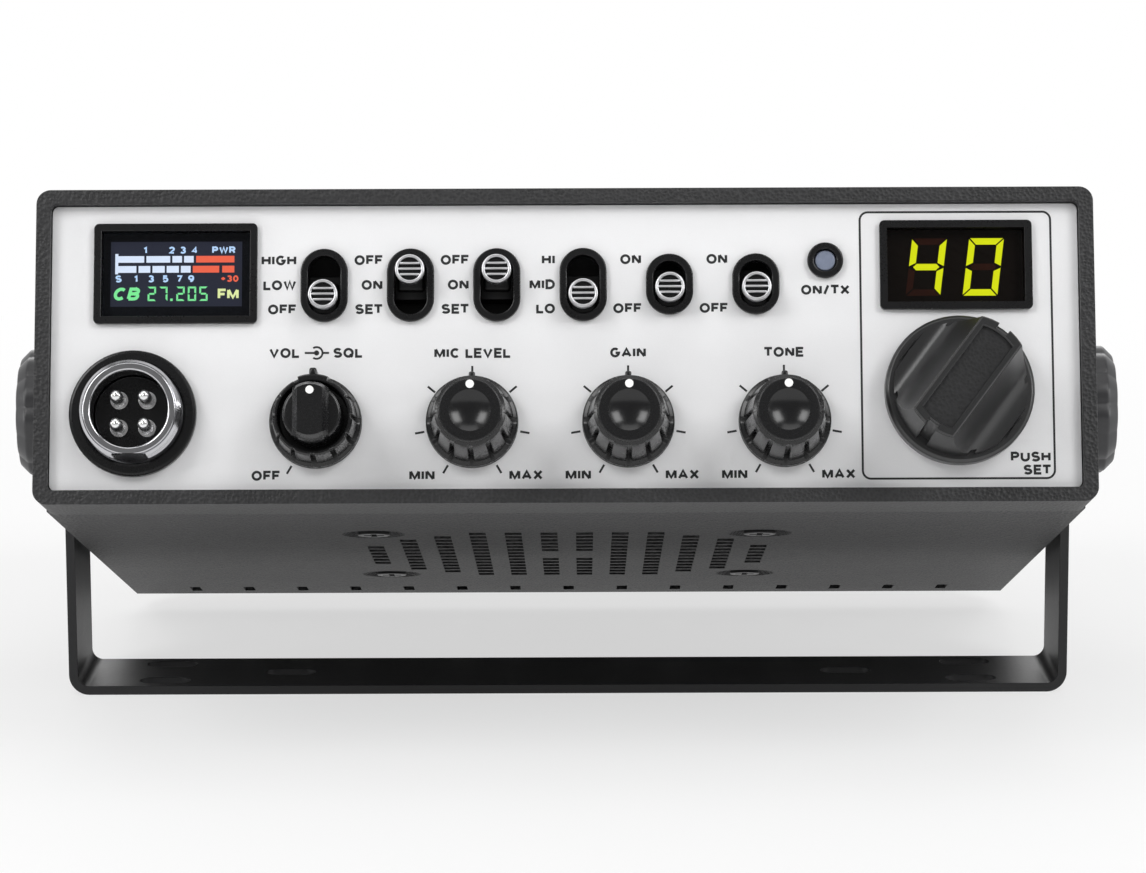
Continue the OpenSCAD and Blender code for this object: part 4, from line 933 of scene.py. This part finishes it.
def outline_band(x, y, w, h, radius, width):
    """Printed line round a rectangle with rounded corners."""
    shapes = []
    in_x = w / 2 - radius
    in_y = h / 2 - radius
    for sx, sy, start in ((1, 1, 0), (-1, 1, 90), (-1, -1, 180), (1, -1, 270)):
        shapes.append(arc_band(x + sx * in_x, y + sy * in_y, radius, width, start, start + 90, 8))
    for s in (-1, 1):
        shapes.append(printed_line(x - in_x, y + s * h / 2, x + in_x, y + s * h / 2, width))
        shapes.append(printed_line(x + s * w / 2, y - in_y, x + s * w / 2, y + in_y, width))
    return joined(*shapes)


SWITCH_WORDS = [("HIGH", "LOW", "OFF"), ("OFF", "ON", "SET"), ("OFF", "ON", "SET"), ("HI", "MID", "LO"),
                ("ON", "", "OFF"), ("ON", "", "OFF")]
SWITCH_WORD_Y = (4.2, 0.15, -3.8)
SWITCH_WORD_END = 4.55
LIGHT_WORD_DROP = 4.7
TITLE_Y = -1.0
PAIR_Y = -0.9
END_WORD_Y = -20.75
MIN_LEFT = 8.05
MAX_RIGHT = 8.6
TICK_FROM = 7.8
TICK_TO = 9.3
TICK_TURNS = (-150, -100, -50, 0, 50, 100, 150)
LINE = 0.34
PUSH_END = 14.7


def switch_words():
    """Words beside each switch, at its positions."""
    shapes = []
    for i, words in enumerate(SWITCH_WORDS):
        for word, y in zip(words, SWITCH_WORD_Y):
            if word:
                shapes.append(label(word, SWITCH_X[i] - SWITCH_WORD_END, SWITCH_Y + y, align="right"))
    return shapes


def paired_title():
    """Words of the two knobs on one axis, and the sign between them."""
    x = KNOB_X[0]
    return [label("VOL", x - 5.2, PAIR_Y), label("SQL", x + 5.0, PAIR_Y),
            dot(0.42, x, PAIR_Y, PRINT_LIFT), printed_line(x - 1.9, PAIR_Y, x, PAIR_Y, LINE),
            arc_band(x, PAIR_Y, 0.95, 0.32, -125, 125),
            printed_line(x + 0.95, PAIR_Y, x + 2.0, PAIR_Y, LINE)]


def knob_titles():
    """Words above and below the three gain knobs."""
    shapes = []
    for x, title in zip(KNOB_X[1:], ("MIC LEVEL", "GAIN", "TONE")):
        shapes.append(label(title, x, TITLE_Y))
        shapes.append(label("MIN", x - MIN_LEFT, END_WORD_Y))
        shapes.append(label("MAX", x + MAX_RIGHT, END_WORD_Y))
    return shapes


def ticks(x, turns):
    """Short lines round a knob, at turns from its upright position."""
    shapes = []
    for turn in turns:
        a = math.radians(90 - turn)
        shapes.append(printed_line(x + TICK_FROM * math.cos(a), KNOB_Y + TICK_FROM * math.sin(a),
                                   x + TICK_TO * math.cos(a), KNOB_Y + TICK_TO * math.sin(a), LINE))
    return shapes


prints = switch_words()
prints.append(label("ON/TX", LIGHT_X, LIGHT_Y - LIGHT_WORD_DROP))
prints += paired_title()
prints += knob_titles()
prints.append(label("OFF", KNOB_X[0] - MIN_LEFT, END_WORD_Y))
for i, x in enumerate(KNOB_X):
    prints += ticks(x, TICK_TURNS if i else TICK_TURNS[:1])
prints.append(label("PUSH", CHANNEL_X + PUSH_END, -18.1, align="right"))
prints.append(label("SET", CHANNEL_X + PUSH_END, -20.2, align="right"))
prints.append(outline_band(CHANNEL_X, 0.08, 30.7, 43.3, 1.3, LINE))
piece("legends", joined(*prints), INK, "radio", on_face(0, 0), sharp=80)


# Two-digit channel display

LIT = {"0": "abcdef", "2": "abged", "4": "fgbc", "5": "afgcd", "7": "abc"}
LED_DIGIT = {"w": 5.6, "h": 9.4, "t": 1.05, "gap": 0.16, "pitch": 9.2, "slant": 7.5}
CHANNEL = "40"


def digit_outlines(w, h, t, gap):
    """Seven outlines of a digit, by their usual letters."""
    mid = h / 2
    top = [(gap, h), (w - gap, h), (w - t - gap, h - t), (t + gap, h - t)]
    left = [(0, h - gap), (t, h - t - gap), (t, mid + t / 2 + gap), (0, mid + gap)]
    right = [(w - x, y) for x, y in left]
    bar = [(t / 2 + gap, mid), (t + gap, mid + t / 2), (w - t - gap, mid + t / 2),
           (w - t / 2 - gap, mid), (w - t - gap, mid - t / 2), (t + gap, mid - t / 2)]
    low_right, bottom, low_left = [[(x, h - y) for x, y in shape] for shape in (right, top, left)]
    return {"a": top, "b": right, "c": low_right, "d": bottom, "e": low_left, "f": left, "g": bar}


def digits(text, x, y, w, h, t, gap, pitch, slant, lit=True):
    """Outlines of the lit or the dark strokes of a row of slanted digits; x and y are its middle."""
    lean = math.tan(math.radians(slant))
    outlines = []
    first = x - (pitch * (len(text) - 1) + w) / 2
    for i, char in enumerate(text):
        for name, shape in digit_outlines(w, h, t, gap).items():
            if (name in LIT[char]) == lit:
                outlines.append([(first + i * pitch + px + (py - h / 2) * lean, y + py - h / 2)
                                 for px, py in shape])
    return outlines


LED_LIT = glowing("led_lit", "#e9ff00", 1.0)
LED_OFF = surface("led_off", "#3a1a12", 0.5, grain=2500, relief=0.05, specular=0.15)
digit_place = on_face(CHANNEL_X, CHANNEL_Y, SCREEN_Z)
lit_digits = plates(digits(CHANNEL, 0, 0, **LED_DIGIT), PRINT_LIFT)
dark_digits = plates(digits(CHANNEL, 0, 0, lit=False, **LED_DIGIT), PRINT_LIFT)
piece("channel_digits_lit", lit_digits, LED_LIT, "radio", digit_place)
piece("channel_digits_dark", dark_digits, LED_OFF, "radio", digit_place)


# Colour screen of the meter

SCREEN_W = 21.2
SCREEN_H = 10.6
BACK_LIFT = 0.01
DRAWN_LIFT = 0.03
screen_place = on_face(METER_X - 0.1, METER_Y + 0.3, SCREEN_Z)


def screen_box(left, right, top, bottom):
    """Rectangle on the screen, in shares of its width from the left and of its height from the top."""
    x0 = (left - 0.5) * SCREEN_W
    x1 = (right - 0.5) * SCREEN_W
    y0 = (0.5 - bottom) * SCREEN_H
    y1 = (0.5 - top) * SCREEN_H
    return [(x0, y0), (x1, y0), (x1, y1), (x0, y1)]


def screen_text(text, x, y, height, **style):
    """Word on the screen about a point, in the same shares."""
    shape = lettering(text, height * SCREEN_H, **style)[0]
    return moved(shape, ((x - 0.5) * SCREEN_W, (0.5 - y) * SCREEN_H, DRAWN_LIFT))


def on_screen(name, shape, material):
    """Adds one colour of the screen's picture."""
    piece(name, shape, material, "radio", screen_place)


GLASS_BLUE = glowing("screen_back", "#252735", 0.8)
BAR_WHITE = glowing("screen_white", "#e9f3ff", 1.0)
BAR_RED = glowing("screen_red", "#ff6a48", 1.0)
TEXT_BLUE = glowing("screen_blue", "#c4e2ff", 1.0)
TEXT_GREEN = glowing("screen_green", "#86f59a", 1.0)
TEXT_YELLOW = glowing("screen_yellow", "#eef7a8", 1.0)
POWER_ROW = (0.22, 0.322)
SIGNAL_ROW = (0.373, 0.478)
POWER_WHITE = ((0.057, 0.254), (0.271, 0.452), (0.469, 0.542), (0.558, 0.631))
SIGNAL_WHITE = ((0.057, 0.195), (0.212, 0.301), (0.318, 0.411), (0.426, 0.519), (0.534, 0.608))
POWER_RED = ((0.65, 0.941),)
SIGNAL_RED = ((0.625, 0.826), (0.849, 0.941))
SCALE_START = (0.034, 0.057, 0.186, 0.5)
POWER_SCALE = (("1", 0.261), ("2", 0.464), ("3", 0.549), ("4", 0.638), ("PWR", 0.86))
SIGNAL_SCALE = (("S", 0.06), ("1", 0.191), ("3", 0.308), ("5", 0.417), ("7", 0.524), ("9", 0.613))
POWER_SCALE_Y = 0.13
SIGNAL_SCALE_Y = 0.572
SCALE_H = 0.11
TUNED_Y = -3.22
TUNED_DIGIT = {"w": 1.35, "h": 2.35, "t": 0.3, "gap": 0.03, "pitch": 1.85, "slant": 0}
POINT = [(-0.95, -4.4), (-0.55, -4.4), (-0.55, -4.0), (-0.95, -4.0)]

on_screen("meter_backlight", plates([screen_box(0, 1, 0, 1)], BACK_LIFT), GLASS_BLUE)
white = [screen_box(*SCALE_START)]
white += [screen_box(a, b, *POWER_ROW) for a, b in POWER_WHITE]
white += [screen_box(a, b, *SIGNAL_ROW) for a, b in SIGNAL_WHITE]
on_screen("meter_bars", plates(white, DRAWN_LIFT), BAR_WHITE)
red = [screen_box(a, b, *POWER_ROW) for a, b in POWER_RED]
red += [screen_box(a, b, *SIGNAL_ROW) for a, b in SIGNAL_RED]
over = screen_text("+30", 0.905, SIGNAL_SCALE_Y, 0.1)
on_screen("meter_red", joined(plates(red, DRAWN_LIFT), over), BAR_RED)
blue = [screen_text(n, x, POWER_SCALE_Y, SCALE_H) for n, x in POWER_SCALE]
blue += [screen_text(n, x, SIGNAL_SCALE_Y, SCALE_H) for n, x in SIGNAL_SCALE]
on_screen("meter_scale", joined(*blue), TEXT_BLUE)
tuned = digits("27", -3.0, TUNED_Y, **TUNED_DIGIT) + digits("205", 2.55, TUNED_Y, **TUNED_DIGIT)
tuned.append(POINT)
band_word = screen_text("CB", 0.125, 0.805, 0.2, lean=0.2)
on_screen("meter_frequency", joined(plates(tuned, DRAWN_LIFT), band_word), TEXT_GREEN)
on_screen("meter_mode", screen_text("FM", 0.896, 0.81, 0.165, stroke=0.24), TEXT_YELLOW)


# Camera at the photograph's viewpoint, found from the edges of the case and the bracket

CAMERA_AT = Vector((2.535, -715.317, 166.326)) * MM
CAMERA_YAW = math.radians(-0.117)
CAMERA_PITCH = math.radians(9.671)
CAMERA_ROLL = math.radians(-0.226)
IMAGE_W = 1146
FOCAL_PIXELS = 4063.8
SENSOR_W = 36.0
FAR_CLIP = 50

level_ahead = Vector((math.sin(CAMERA_YAW), math.cos(CAMERA_YAW), 0))
forward = level_ahead * math.cos(CAMERA_PITCH) - Vector((0, 0, math.sin(CAMERA_PITCH)))
level_right = Vector((math.cos(CAMERA_YAW), -math.sin(CAMERA_YAW), 0))
level_up = level_right.cross(forward)
right = level_right * math.cos(CAMERA_ROLL) + level_up * math.sin(CAMERA_ROLL)
up = level_up * math.cos(CAMERA_ROLL) - level_right * math.sin(CAMERA_ROLL)
lens = bpy.data.cameras.new("camera")
lens.sensor_width = SENSOR_W
lens.lens = FOCAL_PIXELS / IMAGE_W * SENSOR_W
lens.clip_end = FAR_CLIP
camera = bpy.data.objects.new("camera", lens)
scene.collection.objects.link(camera)
turned_axes = Matrix((right, up, -forward)).transposed().to_4x4()
camera.matrix_world = Matrix.Translation(CAMERA_AT) @ turned_axes
scene.camera = camera


# Studio: soft lamps, pale world, and a white floor that keeps the shadow

def softbox(name, place, target, width, height, power):
    """Flat soft lamp at a place, facing a target."""
    lamp = bpy.data.lights.new(name, "AREA")
    lamp.shape = "RECTANGLE"
    lamp.size = width
    lamp.size_y = height
    lamp.energy = power
    holder = bpy.data.objects.new(name, lamp)
    scene.collection.objects.link(holder)
    holder.location = place
    holder.rotation_euler = (Vector(target) - Vector(place)).to_track_quat("-Z", "Y").to_euler()


MIDDLE = (0, -0.02, 0.06)
softbox("top_light", (0, -0.2, 1.15), MIDDLE, 0.8, 0.6, 2.0)
for hand, sign in HANDS:
    softbox(hand + "_light", (sign * 0.7, -0.75, 0.85), MIDDLE, 0.45, 0.6, 5.2)
for hand, sign in HANDS:
    softbox(hand + "_low_light", (sign * 1.0, -0.25, 0.25), MIDDLE, 0.4, 0.3, 2.5)
softbox("back_light", (0, 1.1, 0.55), (0, 0, 0), 1.2, 0.5, 4.0)


def seen_directly(tree):
    """One for rays from the camera, a mirror or a pane, else zero."""
    path = tree.nodes.new("ShaderNodeLightPath").outputs
    either = combine(tree, "MAXIMUM", path["Is Camera Ray"], path["Is Glossy Ray"])
    return combine(tree, "MAXIMUM", either, path["Is Transmission Ray"])


WORLD_LIGHT = 0.35
FRONT_ROOM = 0.22
FRONT_ENDS = -0.2
BACK_STARTS = 0.4


def studio_world():
    """Pale world: full white to the camera, and a dimmer front of the room in reflections."""
    world = bpy.data.worlds.new("studio")
    world.use_nodes = True
    scene.world = world
    sky = world.node_tree
    ambient = sky.nodes["Background"]
    ambient.inputs["Color"].default_value = (1, 1, 1, 1)
    ambient.inputs["Strength"].default_value = WORLD_LIGHT
    white_sky = sky.nodes.new("ShaderNodeBackground")
    white_sky.inputs["Strength"].default_value = 1.0
    heading = sky.nodes.new("ShaderNodeTexCoord")
    axes = sky.nodes.new("ShaderNodeSeparateXYZ")
    sky.links.new(heading.outputs["Generated"], axes.inputs["Vector"])
    room = sky.nodes.new("ShaderNodeMapRange")
    room.inputs["From Min"].default_value = FRONT_ENDS
    room.inputs["From Max"].default_value = BACK_STARTS
    room.inputs["To Min"].default_value = FRONT_ROOM
    room.inputs["To Max"].default_value = 1.0
    sky.links.new(axes.outputs["Y"], room.inputs["Value"])
    sight = sky.nodes.new("ShaderNodeLightPath")
    brightest = combine(sky, "MAXIMUM", sight.outputs["Is Camera Ray"], room.outputs["Result"])
    sky.links.new(brightest, white_sky.inputs["Color"])
    mixed(sky, seen_directly(sky), ambient.outputs["Background"], white_sky.outputs["Background"],
          "World Output")


studio_world()

FLOOR_HALF = 6.0
FLOOR_PALE = 0.93
SHADOW_REACH = 0.1
SHADOW_SOFTENED = 0.62
WHITE_FROM = 0.5


def studio_floor():
    """White floor that keeps the shadow near the object and fades out of sight further off."""
    floor_mesh = bpy.data.meshes.new("floor")
    corners = [(x * FLOOR_HALF, y * FLOOR_HALF, 0) for x, y in ((-1, -1), (1, -1), (1, 1), (-1, 1))]
    floor_mesh.from_pydata(corners, [], [(0, 1, 2, 3)])
    floor = bpy.data.objects.new("floor", floor_mesh)
    scene.collection.objects.link(floor)
    floor_paint, ground = fresh("floor")
    ground.nodes.remove(ground.nodes["Principled BSDF"])
    matte = ground.nodes.new("ShaderNodeBsdfDiffuse")
    matte.inputs["Color"].default_value = (FLOOR_PALE, FLOOR_PALE, FLOOR_PALE, 1)
    glow = ground.nodes.new("ShaderNodeEmission")
    glow.inputs["Strength"].default_value = 1.0
    spot = ground.nodes.new("ShaderNodeTexCoord")
    far = ground.nodes.new("ShaderNodeVectorMath")
    far.operation = "LENGTH"
    ground.links.new(spot.outputs["Object"], far.inputs[0])
    fade = ground.nodes.new("ShaderNodeMapRange")
    fade.interpolation_type = "SMOOTHSTEP"
    fade.inputs["From Min"].default_value = SHADOW_REACH
    fade.inputs["From Max"].default_value = WHITE_FROM
    fade.inputs["To Min"].default_value = SHADOW_SOFTENED
    ground.links.new(far.outputs["Value"], fade.inputs["Value"])
    share = combine(ground, "MULTIPLY", seen_directly(ground), fade.outputs["Result"])
    mixed(ground, share, matte.outputs["BSDF"], glow.outputs["Emission"], "Material Output")
    floor_mesh.materials.append(floor_paint)
    return floor


floor = studio_floor()

scene.view_settings.view_transform = "Standard"
